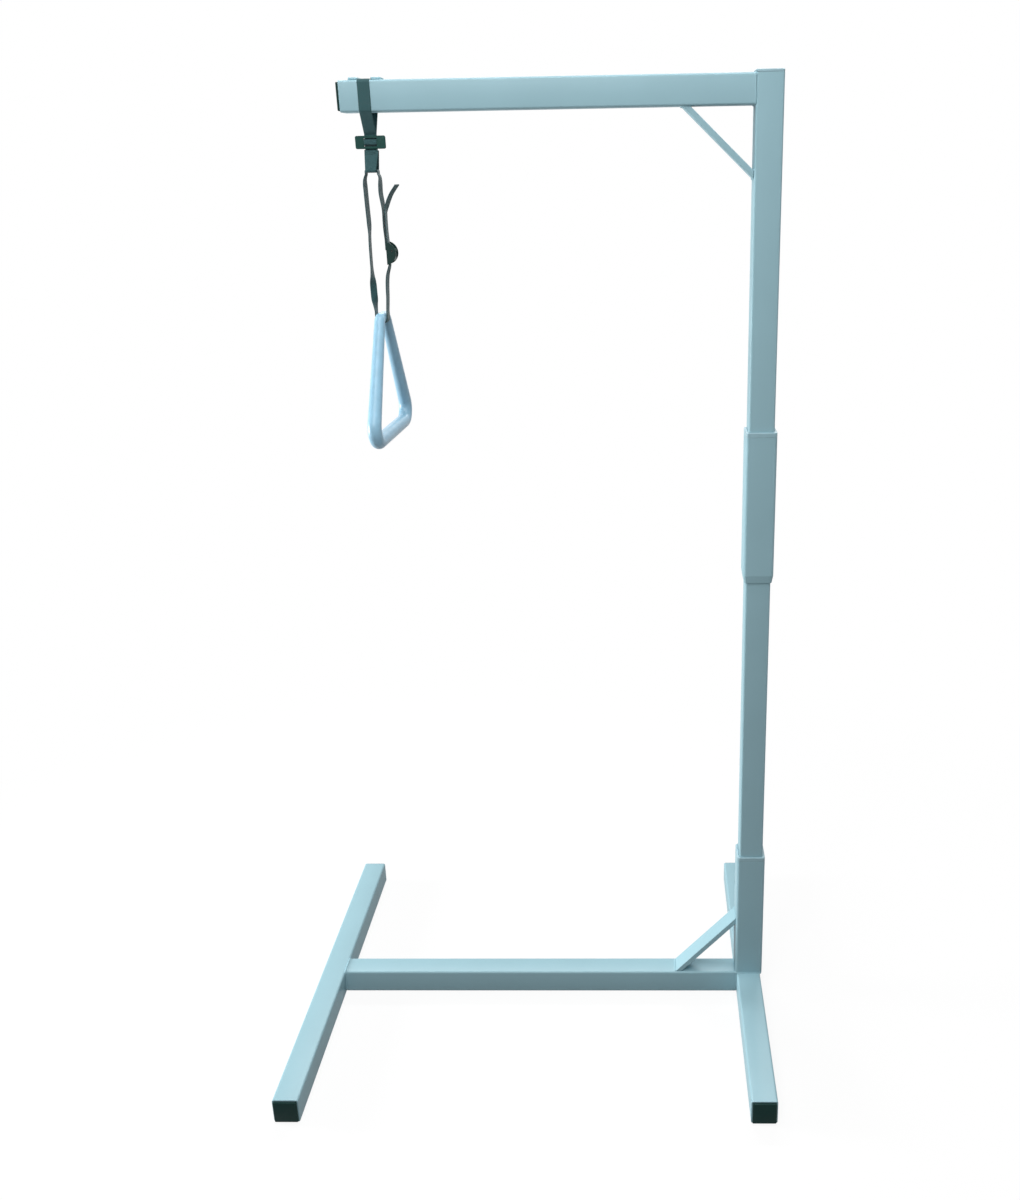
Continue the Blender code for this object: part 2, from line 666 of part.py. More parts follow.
def build_upper_mast():
    """Upper mast, arm, brace, plugs and strap stops."""
    foot = SPLICE_HEIGHT + GAP
    add_body("upper_mast_body", (MAST_X, 0, foot), "lower_mast_body")
    square_tube(
        "upper_mast", UPPER_MAST_TUBE, MAST_WALL, MAST_CORNER, MAST_TOP - foot, (MAST_X, 0, foot),
        "upper_mast_body",
    )
    square_tube(
        "arm", FRAME_TUBE, FRAME_WALL, TUBE_CORNER, ARM_REACH - UPPER_MAST_TUBE / 2 - GAP,
        (ARM_END_X, 0, ARM_BOTTOM + FRAME_TUBE / 2), "upper_mast_body", (0, math.pi / 2, 0),
    )
    brace(
        "arm_brace", ARM_BRACE_RUN, ARM_BRACE_DROP, (MAST_X - UPPER_MAST_TUBE / 2, 0, ARM_BOTTOM),
        "upper_mast_body", (-math.pi / 2, 0, 0),
    )
    end_plug(
        "mast_top_cap", UPPER_MAST_TUBE - 2 * MAST_WALL, UPPER_MAST_TUBE, MAST_CORNER, "bush",
        (MAST_X, 0, MAST_TOP), "upper_mast_body", (math.pi, 0, 0),
    )
    end_plug(
        "arm_end_cap", FRAME_TUBE - 2 * FRAME_WALL, FRAME_CAP, CAP_CORNER, "cap",
        (ARM_END_X, 0, ARM_BOTTOM + FRAME_TUBE / 2), "upper_mast_body", (0, math.pi / 2, 0),
    )
    reach = HANGER_WIDTH / 2 + STOP_SIDE_GAP + STOP_LENGTH / 2
    for name, x in (("outer_strap_stop", STRAP_X - reach), ("inner_strap_stop", STRAP_X + reach)):
        block = box((STOP_LENGTH, STOP_DEPTH, STOP_HEIGHT), (0, 0, STOP_HEIGHT / 2), STOP_EDGE)
        add_shape(name, block, "coat", (x, 0, MAST_TOP + GAP), "upper_mast_body")


def hanger_stations(route, half_width=HANGER_WIDTH / 2, bottom_half=None):
    """Stations of the upper webbing, whose width runs along X, from its (y, z) route."""
    stations = []
    for y, z in route:
        share = min(max((EYE_NECK_Z - z) / (EYE_NECK_Z - EYE_Z), 0), 1)
        end_half = half_width if bottom_half is None else bottom_half
        half = half_width + (end_half - half_width) * share
        x = STRAP_X + EYE_SHIFT * share
        stations.append(((x, y, z), (half, 0, 0)))
    return stations


def leg_start():
    """Where a strap leg leaves the arm's rounded lower edge: angle and point."""
    centre = Vector((TUBE_CORNER - FRAME_TUBE / 2, ARM_BOTTOM + TUBE_CORNER))
    radius = TUBE_CORNER + STRAP_LIFT
    target = Vector((-LAYER_Y, HANGER_TOP)) - centre
    turn = math.degrees(math.atan2(target.y, target.x) - math.acos(radius / target.length)) % 360
    point = arc(centre, radius, turn, turn, 1)[0]
    return centre, radius, turn, point


def build_strap_on_arm():
    """The webbing round the arm and its two legs, which meet above the slide buckle."""
    centre, radius, turn, start = leg_start()
    top = MAST_TOP - TUBE_CORNER
    left = arc(centre, radius, turn, 180)
    upper = arc((centre.x, top), radius, 180, 90)
    half = left + upper
    mirrored = [(-y, z) for y, z in reversed(half)]
    webbing("arm_strap_band", hanger_stations(half + mirrored), "upper_mast_body")
    end = Vector((-LAYER_Y, HANGER_TOP))
    begin = Vector(start) + (end - Vector(start)).normalized() * GAP
    for name, sign in (("front_strap_leg", 1), ("rear_strap_leg", -1)):
        route = [(sign * y, z) for y, z in (begin.lerp(end, k / 6) for k in range(7))]
        webbing(name, hanger_stations(route), "upper_mast_body")


def slide_route():
    """The front layer's way over the slide buckle's middle bar."""
    bar_front = -LAYER_Y - WEBBING_THICKNESS / 2 - GAP - (SLIDE_THICKNESS + SLIDE_BAR_THICKNESS) / 2
    over = bar_front - STRAP_LIFT
    inner = SLIDE_HEIGHT / 2 - SLIDE_RAIL - WEBBING_THICKNESS / 2
    outer = SLIDE_BAR_HEIGHT / 2 + WEBBING_THICKNESS / 3
    return [
        (-LAYER_Y, SLIDE_Z + inner),
        (over, SLIDE_Z + outer),
        (over, SLIDE_Z - outer),
        (-LAYER_Y, SLIDE_Z - inner),
    ]


def eye_route():
    """The front half of the eye, from its neck round the corner to the middle of its floor."""
    corner_y = EYE_CORNER - EYE_HALF_Y
    corner_z = EYE_Z + EYE_CORNER
    neck = (-LAYER_Y, EYE_NECK_Z)
    lean = math.degrees(math.atan2(EYE_HALF_Y - LAYER_Y, EYE_NECK_Z - corner_z))
    return [neck] + arc((corner_y, corner_z), EYE_CORNER, 180 - lean, 270, 4) + [(0, EYE_Z)]


def build_hanger():
    """Slide buckle, the webbing with its eye, the eye's sleeve and the loop's top in it."""
    add_body("hanger", (STRAP_X, 0, HANGER_TOP), "upper_mast_body")
    build_slide()
    front = [(-LAYER_Y, HANGER_TOP - HANGER_TOP_GAP)] + slide_route() + eye_route()
    rear = [(-y, z) for y, z in reversed(eye_route()[:-1])]
    rear.append((LAYER_Y, HANGER_TOP - HANGER_TOP_GAP))
    webbing("hanger_strap", hanger_stations(front + rear, HANGER_WIDTH / 2, EYE_WIDTH / 2), "hanger")
    half = eye_route()
    lift = WEBBING_THICKNESS / 2 + GAP + SLEEVE_WEB_THICKNESS / 2
    full = half + [(-y, z) for y, z in reversed(half[:-1])]
    outside = offset_route(full, lift)
    stations = hanger_stations(outside, EYE_SLEEVE_WIDTH / 2, EYE_WIDTH / 2 + 2 * GAP)
    webbing("eye_sleeve", stations, "hanger", SLEEVE_WEB_THICKNESS)
    route = arc((LOOP_BEND - LOOP_HALF, LOOP_TOP_Z - LOOP_BEND), LOOP_BEND, 180, 90, 4)
    route = [(-LOOP_HALF, LOOP_END_Z)] + route
    route = route + [(-x, z) for x, z in reversed(route)]
    webbing("loop_top_bight", loop_stations([(EYE_X + x, z) for x, z in route]), "hanger")


def build_slide():
    """The slide buckle: a rounded plate with two slots either side of a thinner bar."""
    at = (STRAP_X, RAIL_FRONT_Y + SLIDE_THICKNESS / 2, SLIDE_Z)
    lying = (math.pi / 2, 0, 0)
    plate = box((SLIDE_WIDTH, SLIDE_HEIGHT, SLIDE_THICKNESS), (0, 0, 0), SLIDE_CORNER, 5, True)
    rims = [f for f in plate.faces if abs(f.normal.z) > 0.5]
    edges = list({e for f in rims for e in f.edges})
    bmesh.ops.bevel(
        plate, geom=edges, offset=SLIDE_EDGE, offset_type="OFFSET", segments=1, profile=0.5, affect="EDGES",
    )
    slide = add_shape("cross_buckle", plate, "buckle", at, "hanger", lying)
    slot = HANGER_WIDTH + 2 * SLOT_SIDE_GAP
    window = SLIDE_HEIGHT - 2 * SLIDE_RAIL
    opening = box((slot, window, 2 * SLIDE_THICKNESS))
    boolean(slide, add_guide(opening, at, lying), "DIFFERENCE")
    bar = box((slot + SLIDE_RAIL, SLIDE_BAR_HEIGHT, SLIDE_BAR_THICKNESS))
    boolean(slide, add_guide(bar, at, lying), "UNION")


def loop_stations(route, halves=None):
    """Stations of the loop's webbing, whose width runs along Y, from its (x, z) route."""
    half = (0, LOOP_WIDTH / 2, 0)
    return [((x, 0, z), halves[i] if halves else half) for i, (x, z) in enumerate(route)]


def strand(top, bottom, bulges, steps=4):
    """A smooth strand between two (x, z) ends, upright at both, pushed sideways at shares of its length."""
    top, bottom = Vector(top), Vector(bottom)
    lead = Vector((0, math.copysign(STRAND_LEAD, bottom.y - top.y)))
    points = [top + lead]
    points += [top.lerp(bottom, share) + Vector((push, 0)) for share, push in bulges]
    points.append(bottom - lead)
    return [tuple(top)] + [tuple(p) for p in smooth_route(points, steps)] + [tuple(bottom)]


def twisted_halves(route):
    """Half-width vectors that turn half round along the lower part of a strand."""
    high, low = route[0][1], route[-1][1]
    halves = []
    for _, z in route:
        share = (high - z) / (high - low)
        turn = min(max((share - TWIST_START) / (TWIST_END - TWIST_START), 0), 1)
        turn = turn * turn * (3 - 2 * turn)
        half = LOOP_WIDTH / 2 * (1 - TWIST_PINCH * math.sin(math.pi * turn))
        angle = math.pi * turn
        halves.append((half * math.sin(angle), half * math.cos(angle), 0))
    return halves


def build_loop():
    """The loop's strands, the cam buckle and the webbing's tail."""
    pivot = (EYE_X, 0, LOOP_TOP_Z)
    add_body("lower_loop", pivot, "hanger")
    join_z = LOOP_END_Z - GAP
    left_end = (GRIP_X - BIGHT_RADIUS, BIGHT_TOP_Z + GAP)
    left = strand((EYE_X - LOOP_HALF, join_z), left_end, LEFT_PUSHES, 6)
    webbing("left_strand", loop_stations(left, twisted_halves(left)), "lower_loop")
    seam_x = PLATE_X - STRAP_LIFT
    upper = strand((EYE_X + LOOP_HALF, join_z), (seam_x, BUCKLE_TOP_Z + MOUTH_LEAD), UPPER_PUSHES)
    upper.append((seam_x, BUCKLE_TOP_Z - BUCKLE_SEAM))
    webbing("upper_right_strand", loop_stations(upper), "lower_loop")
    right_end = (GRIP_X + BIGHT_RADIUS, BIGHT_TOP_Z + GAP)
    exit_z = BUCKLE_BOTTOM_Z + GAP
    lower = strand((THREAD_X, exit_z), right_end, LOWER_PUSHES)
    webbing("lower_right_strand", loop_stations(lower), "lower_loop")
    tail = tail_route()
    webbing("tail_strand", loop_stations(tail), "lower_loop")
    build_cam_buckle()
    tip_x, tip_z = tail[-1][0], tail[-1][1] + GAP
    tip = strand((tip_x, tip_z), (tip_x + TAIL_LEAN, tip_z + TAIL_LENGTH), TAIL_PUSHES)
    add_body("tail_tip_body", (tip_x, 0, tip_z), "lower_loop")
    webbing("tail_tip", loop_stations(tip), "tail_tip_body")


def tail_route():
    """The webbing's way up through the buckle and along the upper strand."""
    beside = PLATE_X - STRAP_LIFT + WEBBING_THICKNESS + GAP
    inside = [(THREAD_X, BUCKLE_BOTTOM_Z + 2 * GAP), (THREAD_X, BUCKLE_TOP_Z + MOUTH_LEAD)]
    return inside + [(beside + off, BUCKLE_TOP_Z + rise) for rise, off in TAIL_COURSE]


def build_cam_buckle():
    """The cam buckle: a D-sided channel, its hinge pin, the cam lever and its spring."""
    radius = (BUCKLE_HEIGHT**2 / 4 + BUCKLE_BULGE**2) / (2 * BUCKLE_BULGE)
    centre = Vector((PLATE_X + BUCKLE_BULGE - radius, 0, BUCKLE_Z))
    lying = (math.pi / 2, 0, 0)
    drum = cylinder(radius, BUCKLE_WIDTH, -BUCKLE_WIDTH / 2, 48)
    cut = bmesh.ops.bisect_plane(
        drum, geom=drum.verts[:] + drum.edges[:] + drum.faces[:],
        plane_co=(PLATE_X - centre.x, 0, 0), plane_no=(-1, 0, 0), clear_outer=True,
    )
    rim = [g for g in cut["geom_cut"] if isinstance(g, bmesh.types.BMEdge)]
    bmesh.ops.contextual_create(drum, geom=rim)
    frame = add_shape("cam_buckle_frame", drum, "buckle", centre, "lower_loop", lying)
    inside = box(
        (2 * BUCKLE_BULGE, BUCKLE_WIDTH - 2 * BUCKLE_CHEEK, 2 * BUCKLE_HEIGHT), (BUCKLE_BULGE, 0, 0),
    )
    boolean(frame, add_guide(inside, (PLATE_X + BUCKLE_PLATE, 0, BUCKLE_Z)), "DIFFERENCE")
    pin_at = Vector((PIN_X, 0, PIN_Z))
    hole = cylinder(PIN_RADIUS + PIN_CLEARANCE, 2 * BUCKLE_WIDTH, -BUCKLE_WIDTH, 16)
    boolean(frame, add_guide(hole, pin_at, lying), "DIFFERENCE")
    add_shape(
        "cam_hinge_pin", cylinder(PIN_RADIUS, BUCKLE_WIDTH, -BUCKLE_WIDTH / 2, 16, PIN_CHAMFER), "steel",
        pin_at, "lower_loop", lying,
    )
    build_spring(pin_at)
    build_cam_lever(pin_at, lying)


def build_spring(pin_at):
    """The torsion spring's coil round the pin."""
    curve = bpy.data.curves.new("cam_spring", "CURVE")
    curve.dimensions = "3D"
    curve.bevel_depth = SPRING_WIRE
    curve.bevel_resolution = 1
    curve.use_fill_caps = True
    per_turn = 12
    count = SPRING_TURNS * per_turn + 1
    pitch = 2 * SPRING_WIRE + GAP
    spline = curve.splines.new("POLY")
    spline.points.add(count - 1)
    for k, point in enumerate(spline.points):
        angle = 2 * math.pi * k / per_turn
        y = pitch * (k / per_turn - SPRING_TURNS / 2)
        point.co = (SPRING_RADIUS * math.cos(angle), y, SPRING_RADIUS * math.sin(angle), 1)
    mesh = welded_mesh("cam_spring", curve)
    add_object("cam_spring", mesh, "steel", pin_at, "lower_loop")


def build_cam_lever(pin_at, lying):
    """The cam: a drum with its high side on the webbing and a thumb tab below."""
    add_body("cam_lever_body", pin_at, "lower_loop")
    reach = PIN_X - THREAD_X - WEBBING_THICKNESS / 2 - GAP
    outline = []
    for k in range(CAM_FACETS):
        angle = math.radians(CAM_FIRST_ANGLE + k * CAM_FACET_ANGLE)
        high = max(math.cos(angle - math.radians(CAM_NOSE_ANGLE)), 0) ** CAM_NOSE_POWER
        outline.append((
            (CAM_RADIUS + (reach - CAM_RADIUS) * high) * math.cos(angle),
            (CAM_RADIUS + (reach - CAM_RADIUS) * high) * math.sin(angle),
        ))
    heel = CAM_TAB_OUT - CAM_TAB_THICKNESS
    outline += [
        (heel - CAM_TAB_FLARE / 2, -CAM_RADIUS - CAM_TAB_ROOT / 2),
        (heel, -CAM_TAB_LENGTH),
        (CAM_TAB_OUT, -CAM_TAB_LENGTH),
        (CAM_TAB_OUT + CAM_TAB_FLARE, -CAM_RADIUS - CAM_TAB_ROOT),
    ]
    depth = BUCKLE_WIDTH - 2 * BUCKLE_CHEEK - 2 * PIN_CLEARANCE
    mesh = outline_mesh("cam_lever", outline, depth)
    lever = add_object("cam_lever", mesh, "buckle", pin_at, "cam_lever_body", lying)
    bore = cylinder(PIN_RADIUS + PIN_CLEARANCE, 2 * BUCKLE_WIDTH, -BUCKLE_WIDTH, 16)
    boolean(lever, add_guide(bore, pin_at, lying), "DIFFERENCE")
    room = box((CAM_ROOM, CAM_SLOT, CAM_ROOM), (0, 0, CAM_ROOM / 2 - CAM_RADIUS - GAP))
    boolean(lever, add_guide(room, pin_at), "DIFFERENCE")


def build_grip():
    """The webbing under the grip's top bar, and the triangular grip."""
    axis = (GRIP_X, 0, GRIP_Z)
    add_body("grip_bight_body", axis, "lower_loop")
    route = [(-BIGHT_RADIUS, BIGHT_TOP_Z - GRIP_Z)] + arc((0, 0), BIGHT_RADIUS, 180, 360, 14)
    route.append((BIGHT_RADIUS, BIGHT_TOP_Z - GRIP_Z))
    turn = Matrix.Rotation(-GRIP_YAW, 3, "Z")
    half = turn @ Vector((0, LOOP_WIDTH / 2, 0))
    stations = [(Vector(axis) + turn @ Vector((x, 0, z)), half) for x, z in route]
    webbing("grip_bight", stations, "grip_bight_body")
    add_body("grip_body", axis, "grip_bight_body")
    curve = bpy.data.curves.new("trapeze_grip", "CURVE")
    curve.dimensions = "3D"
    curve.twist_mode = "Z_UP"
    curve.bevel_depth = GRIP_BOTTOM_RADIUS
    curve.bevel_resolution = 5
    route = grip_route()
    spline = curve.splines.new("POLY")
    spline.points.add(len(route) - 1)
    for point, (y, z, radius) in zip(spline.points, route):
        point.co = (0, y, z, 1)
        point.radius = radius / GRIP_BOTTOM_RADIUS
    spline.use_cyclic_u = True
    mesh = welded_mesh("trapeze_grip", curve)
    mesh.shade_smooth()
    add_object("trapeze_grip", mesh, "grip", axis, "grip_body", (0, 0, -GRIP_YAW))


def grip_route():
    """The grip's closed centre line as (y, z, radius), thicker towards the bottom bar."""
    lean = math.atan2(GRIP_BOTTOM_HALF - GRIP_TOP_HALF, GRIP_HEIGHT)
    top_turn = math.pi / 2 - lean
    top_cut = GRIP_TOP_BEND * math.tan(top_turn / 2)
    bottom_turn = math.pi / 2 + lean
    bottom_cut = GRIP_BOTTOM_BEND * math.tan(bottom_turn / 2)
    top_arc = arc(
        (GRIP_TOP_HALF - top_cut, -GRIP_TOP_BEND), GRIP_TOP_BEND, 90, 90 - math.degrees(top_turn), 6,
    )
    bottom_arc = arc(
        (GRIP_BOTTOM_HALF - bottom_cut, GRIP_BOTTOM_BEND - GRIP_HEIGHT), GRIP_BOTTOM_BEND,
        math.degrees(lean), -90, 10,
    )
    leg_top = Vector(top_arc[-1])
    leg_bottom = Vector(bottom_arc[0])
    leg = [tuple(leg_top.lerp(leg_bottom, k / 5)) for k in range(1, 5)]
    half = top_arc + leg + bottom_arc
    whole = half + [(-y, z) for y, z in reversed(half)]
    route = []
    for y, z in whole:
        share = min(max(-z / GRIP_HEIGHT, 0), 1)
        route.append((y, z, GRIP_TOP_RADIUS + (GRIP_BOTTOM_RADIUS - GRIP_TOP_RADIUS) * share))
    return route


def build_all():
    """Every piece, from the floor up and then down the strap."""
    build_base()
    build_lock("lower", LOWER_MAST_TUBE, STUB_TUBE, LOWER_LOCK_HEIGHT, "base_frame")
    build_lower_mast()
    build_lock("upper", UPPER_MAST_TUBE, SLEEVE_TUBE, UPPER_LOCK_HEIGHT, "lower_mast_body")
    build_upper_mast()
    build_strap_on_arm()
    build_hanger()
    build_loop()
    build_grip()


build_all()
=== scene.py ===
"""Finished look of a free-standing bed trapeze: tubes, welds, fittings, webbing, buckles and hand grip."""
import json
import math

import bmesh
import bpy
import numpy as np
from bpy.props import FloatProperty, FloatVectorProperty, PointerProperty
from mathutils import Matrix, Vector

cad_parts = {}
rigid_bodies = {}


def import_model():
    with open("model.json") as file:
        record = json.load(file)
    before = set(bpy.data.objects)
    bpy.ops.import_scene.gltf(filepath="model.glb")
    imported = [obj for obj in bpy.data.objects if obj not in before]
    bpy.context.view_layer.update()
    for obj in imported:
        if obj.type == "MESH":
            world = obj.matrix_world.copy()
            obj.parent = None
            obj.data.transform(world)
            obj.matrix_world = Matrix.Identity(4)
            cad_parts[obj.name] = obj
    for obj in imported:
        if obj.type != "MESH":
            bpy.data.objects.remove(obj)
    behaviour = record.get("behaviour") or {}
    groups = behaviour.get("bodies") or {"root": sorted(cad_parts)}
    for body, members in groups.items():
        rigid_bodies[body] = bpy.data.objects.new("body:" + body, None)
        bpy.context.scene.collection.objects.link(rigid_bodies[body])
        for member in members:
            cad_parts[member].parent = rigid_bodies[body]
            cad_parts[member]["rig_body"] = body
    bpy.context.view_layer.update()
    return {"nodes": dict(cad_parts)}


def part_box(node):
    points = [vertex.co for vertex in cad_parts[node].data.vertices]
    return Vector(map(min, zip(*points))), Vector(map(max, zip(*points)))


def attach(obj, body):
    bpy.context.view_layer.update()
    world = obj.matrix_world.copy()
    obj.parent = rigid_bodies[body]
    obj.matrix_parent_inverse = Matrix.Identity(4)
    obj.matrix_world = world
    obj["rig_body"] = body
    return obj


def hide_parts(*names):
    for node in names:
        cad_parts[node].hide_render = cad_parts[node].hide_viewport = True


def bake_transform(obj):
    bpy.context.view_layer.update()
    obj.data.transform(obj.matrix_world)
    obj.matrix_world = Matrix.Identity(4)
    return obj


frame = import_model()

bl_info = {
    "name": "Bed trapeze",
    "version": (1, 0, 0),
    "blender": (4, 5, 0),
    "location": "3D View > Sidebar > Trapeze",
    "description": "Builds the finished pieces of a free-standing bed trapeze and a plain studio",
    "category": "Object",
}

# Camera of the photograph, in a frame of 1020 by 1200
CAMERA_PLACE = (0.24707, -2.28237, 1.76915)
CAMERA_YAW = -0.0285
CAMERA_PITCH = -0.3497
CAMERA_ROLL = 0.0181
CAMERA_FOCAL_PIXELS = 1200.49
CAMERA_CENTRE_PIXELS = (614.92, 600.0)
IMAGE_WIDTH = 1020
IMAGE_HEIGHT = 1200
NEAR_CLIP = 0.05
# Place, target, width and height of each lamp
LAMPS = {
    "rear": ((0.0, 3.1, 3.35), (0.0, -0.4, 0.1), 3.6, 0.5),
    "left": ((-3.7, 0.3, 0.9), (0.45, 0.0, 1.4), 1.0, 1.0),
    "top": ((0.1, -0.8, 3.9), (0.1, -0.2, 0.0), 2.2, 2.2),
    "front": ((-0.3, -2.5, 2.9), (0.1, 0.0, 1.6), 1.4, 1.4),
    "right": ((2.1, 0.2, 0.8), (-0.4, 0.0, 0.3), 1.2, 1.2),
}
# The floor's half-width and drop below the feet, its diffuse shades as seen and as a light source,
# and the distances between which it fades to white
FLOOR_HALF = 20.0
FLOOR_DROP = 0.0005
FLOOR_SEEN = 0.95
FLOOR_LIGHT = 0.22
FLOOR_FADE = (0.7, 2.0)
FLOOR_WHITE = (0.90, 1.0)
# Running gap between touching pieces of the frame
GAP = 0.0003
# Corner radii of the base and arm tubes and of the sockets, and the flat bars' thickness
TUBE_CORNER = 0.004
SOCKET_CORNER = 0.006
BAR_THICKNESS = 0.0105
# Thickness of the woven strap
STRAP_THICK = 0.0018
# Points round a quarter turn of a tube's corner
CORNER_STEPS = 6
# Broken edges of the coated pieces, the clamp pads and knobs, and the slide buckle
TUBE_EDGE = 0.0003
BAR_EDGE = 0.0012
NUT_EDGE = 0.0008
PAD_EDGE = 0.0002
KNOB_EDGE = 0.0007
# Angles under which faces are shaded smooth, an edge stays unbroken and faces are joined into one, and the
# distance under which points are joined
SMOOTH_ANGLE = math.radians(38)
EDGE_ANGLE = math.radians(40)
FLAT_ANGLE = math.radians(0.6)
WELD_DISTANCE = 0.000002
# The blackened hinge pin and the cam buckle against the zinc's and the slide buckle's colours
PIN_SHADE = 0.12
CAM_SHADE = 0.5
# Points along a rib, across a face and round an edge of the webbing, and its herringbone: width of a
# column, lean of the ribs, how far they sink into the face and how fast they fade towards the edges
YARN_POINTS = 4
WEB_COLUMNS = 22
WEB_EDGE_STEPS = 4
RIB_COLUMN = 0.0034
RIB_LEAN = 0.9
RIB_SINK = 0.6
RIB_FADE = 6
# Keeps the weave on the webbing's rear face apart from that on its front
REAR_UV_SHIFT = 0.05
# A direction along no piece, from which a round bar's first side is taken
FIRST_SIDE = (0.31, 0.47, 0.83)


def from_display(red, green, blue):
    """A colour as a screen shows it, turned into the linear values that shaders use."""
    return tuple(v / 12.92 if v <= 0.04045 else ((v + 0.055) / 1.055) ** 2.4 for v in (red, green, blue))


def colour_setting(label, text, display):
    """A colour that a user can change."""
    return FloatVectorProperty(
        name=label, description=text, subtype="COLOR", size=3, min=0, max=1, default=from_display(*display),
    )


def length_setting(label, text, default):
    """A length that a user can change."""
    return FloatProperty(
        name=label, description=text, default=default, min=0, unit="LENGTH", subtype="DISTANCE", precision=5,
    )


def strength_setting(label, text, default):
    """A light's strength that a user can change."""
    return FloatProperty(name=label, description=text, default=default, min=0)


class TrapezeColours(bpy.types.PropertyGroup):
    """Colours of the finishes."""
    coat: colour_setting("Powder coat", "Paint of all the steel tubes", (0.60, 0.74, 0.78))
    cap: colour_setting("End plugs", "Moulded plugs and knobs", (0.045, 0.175, 0.165))
    bush: colour_setting("Guide bushes", "Pale moulded collars", (0.58, 0.71, 0.75))
    steel: colour_setting("Zinc", "Plated screws, pin and spring", (0.72, 0.73, 0.74))
    webbing: colour_setting("Webbing", "Yarn of the strap", (0.14, 0.30, 0.315))
    thread: colour_setting("Thread", "Sewing thread of the strap", (0.12, 0.23, 0.24))
    buckle: colour_setting("Buckles", "Moulded buckles", (0.037, 0.24, 0.218))
    grip: colour_setting("Grip", "Moulded hand grip", (0.58, 0.755, 0.85))


class TrapezeSizes(bpy.types.PropertyGroup):
    """Sizes of the fine work."""
    soft_edge: length_setting("Soft edge", "Rounding of cut and moulded edges", 0.0004)
    weld: length_setting("Weld radius", "Radius of the weld beads", 0.0021)
    weld_ripple: length_setting("Weld ripple", "Pitch of the ripples along a bead", 0.0019)
    webbing: length_setting("Webbing thickness", "Thickness of the woven strap", STRAP_THICK)
    yarn: length_setting("Weave pitch", "Distance from one rib of the weave to the next", 0.0018)
    yarn_depth: length_setting("Weave depth", "Height of the ribs of the weave", 0.00016)
    stitch: length_setting("Stitch", "Length of one stitch", 0.0028)
    thread: length_setting("Thread radius", "Radius of the sewing thread", 0.00032)
    screw_pitch: length_setting("Screw pitch", "Pitch of the clamp screws' thread", 0.00125)


class TrapezeStudio(bpy.types.PropertyGroup):
    """Strength of the lights."""
    ambient: strength_setting("Ambient", "Light from all round", 0.1)
    rear: strength_setting("Rear lamp", "Wide lamp high at the back", 90.0)
    left: strength_setting("Left lamp", "Large lamp at the left", 160.0)
    top: strength_setting("Top lamp", "Large lamp overhead", 62.0)
    front: strength_setting("Front lamp", "Lamp high at the front", 43.0)
    right: strength_setting("Right lamp", "Weak lamp low at the right", 4.0)


def sizes():
    """The sizes in use."""
    return bpy.context.scene.trapeze_sizes


# Node materials

# White with full alpha, the lean of a thread's plies in radians, and the mix node's sockets for colours
WHITE = (1, 1, 1, 1)
THREAD_TWIST = 0.7
MIX_FIRST = 6
MIX_SECOND = 7
MIX_RESULT = 2


def set_inputs(tree, node, inputs):
    """Give a node's inputs their values, or link them to sockets."""
    for key, value in inputs.items():
        if isinstance(value, bpy.types.NodeSocket):
            tree.links.new(value, node.inputs[key])
        else:
            node.inputs[key].default_value = value


def add_node(tree, kind, inputs=None, **settings):
    """A shader node with its settings and inputs."""
    made = tree.nodes.new(kind)
    for key, value in settings.items():
        setattr(made, key, value)
    set_inputs(tree, made, inputs or {})
    return made


def combined(tree, operation, first, second):
    """Two values joined by an operation."""
    return add_node(tree, "ShaderNodeMath", {0: first, 1: second}, operation=operation).outputs["Value"]


def object_place(tree):
    """Places on the object's own axes."""
    return add_node(tree, "ShaderNodeTexCoord").outputs["Object"]


def noise(tree, place, scale, detail):
    """A cloudy value from 0 to 1."""
    inputs = {"Vector": place, "Scale": scale, "Detail": detail}
    return add_node(tree, "ShaderNodeTexNoise", inputs).outputs["Fac"]


def stripes(tree, place, scale, direction="X", wobble=0.0):
    """A striped value from 0 to 1."""
    inputs = {"Vector": place, "Scale": scale, "Distortion": wobble, "Detail": 1.0}
    wave = add_node(tree, "ShaderNodeTexWave", inputs, wave_type="BANDS", bands_direction=direction)
    return wave.outputs["Fac"]


def clamped(value):
    """A value kept between 0 and 1."""
    return min(max(value, 0), 1)


def shade(colour, factor):
    """A colour made lighter or darker, with full alpha."""
    return tuple(clamped(v * factor) for v in colour) + (1,)


def two_tone(tree, value, colour, factors, span=(0.0, 1.0)):
    """A colour that goes from one shade to another as a value rises."""
    ramp = add_node(tree, "ShaderNodeValToRGB", {"Fac": value})
    for element, position, factor in zip(ramp.color_ramp.elements, span, factors):
        element.position = position
        element.color = shade(colour, factor)
    return ramp.outputs["Color"]


def mottled(tree, place, colour, scale, spread):
    """A colour that drifts slightly lighter and darker over the surface."""
    clouds = noise(tree, place, scale, detail=3.0)
    return two_tone(tree, clouds, colour, factors=(1 - spread, 1 + spread), span=(0.3, 0.7))


def ranged(tree, value, low, high):
    """A value from 0 to 1 moved into another range."""
    moved = add_node(tree, "ShaderNodeMapRange", {"Value": value, "To Min": low, "To Max": high})
    return moved.outputs["Result"]


def bumped(tree, height, strength, distance):
    """A bump from a height."""
    inputs = {"Height": height, "Strength": strength, "Distance": distance}
    return add_node(tree, "ShaderNodeBump", inputs).outputs["Normal"]


def powder_coat(tree, colour):
    """Semi-gloss powder coat with its orange-peel surface and faint handling marks."""
    place = object_place(tree)
    marks = noise(tree, place, scale=38.0, detail=5.0)
    peel = noise(tree, place, scale=620.0, detail=2.0)
    return {
        "Base Color": mottled(tree, place, colour, scale=7.0, spread=0.025),
        "Roughness": ranged(tree, marks, low=0.34, high=0.50),
        "Normal": bumped(tree, peel, strength=0.25, distance=0.00012),
        "Specular IOR Level": 0.0,
        "Coat Weight": 0.35,
        "Coat Roughness": 0.28,
    }


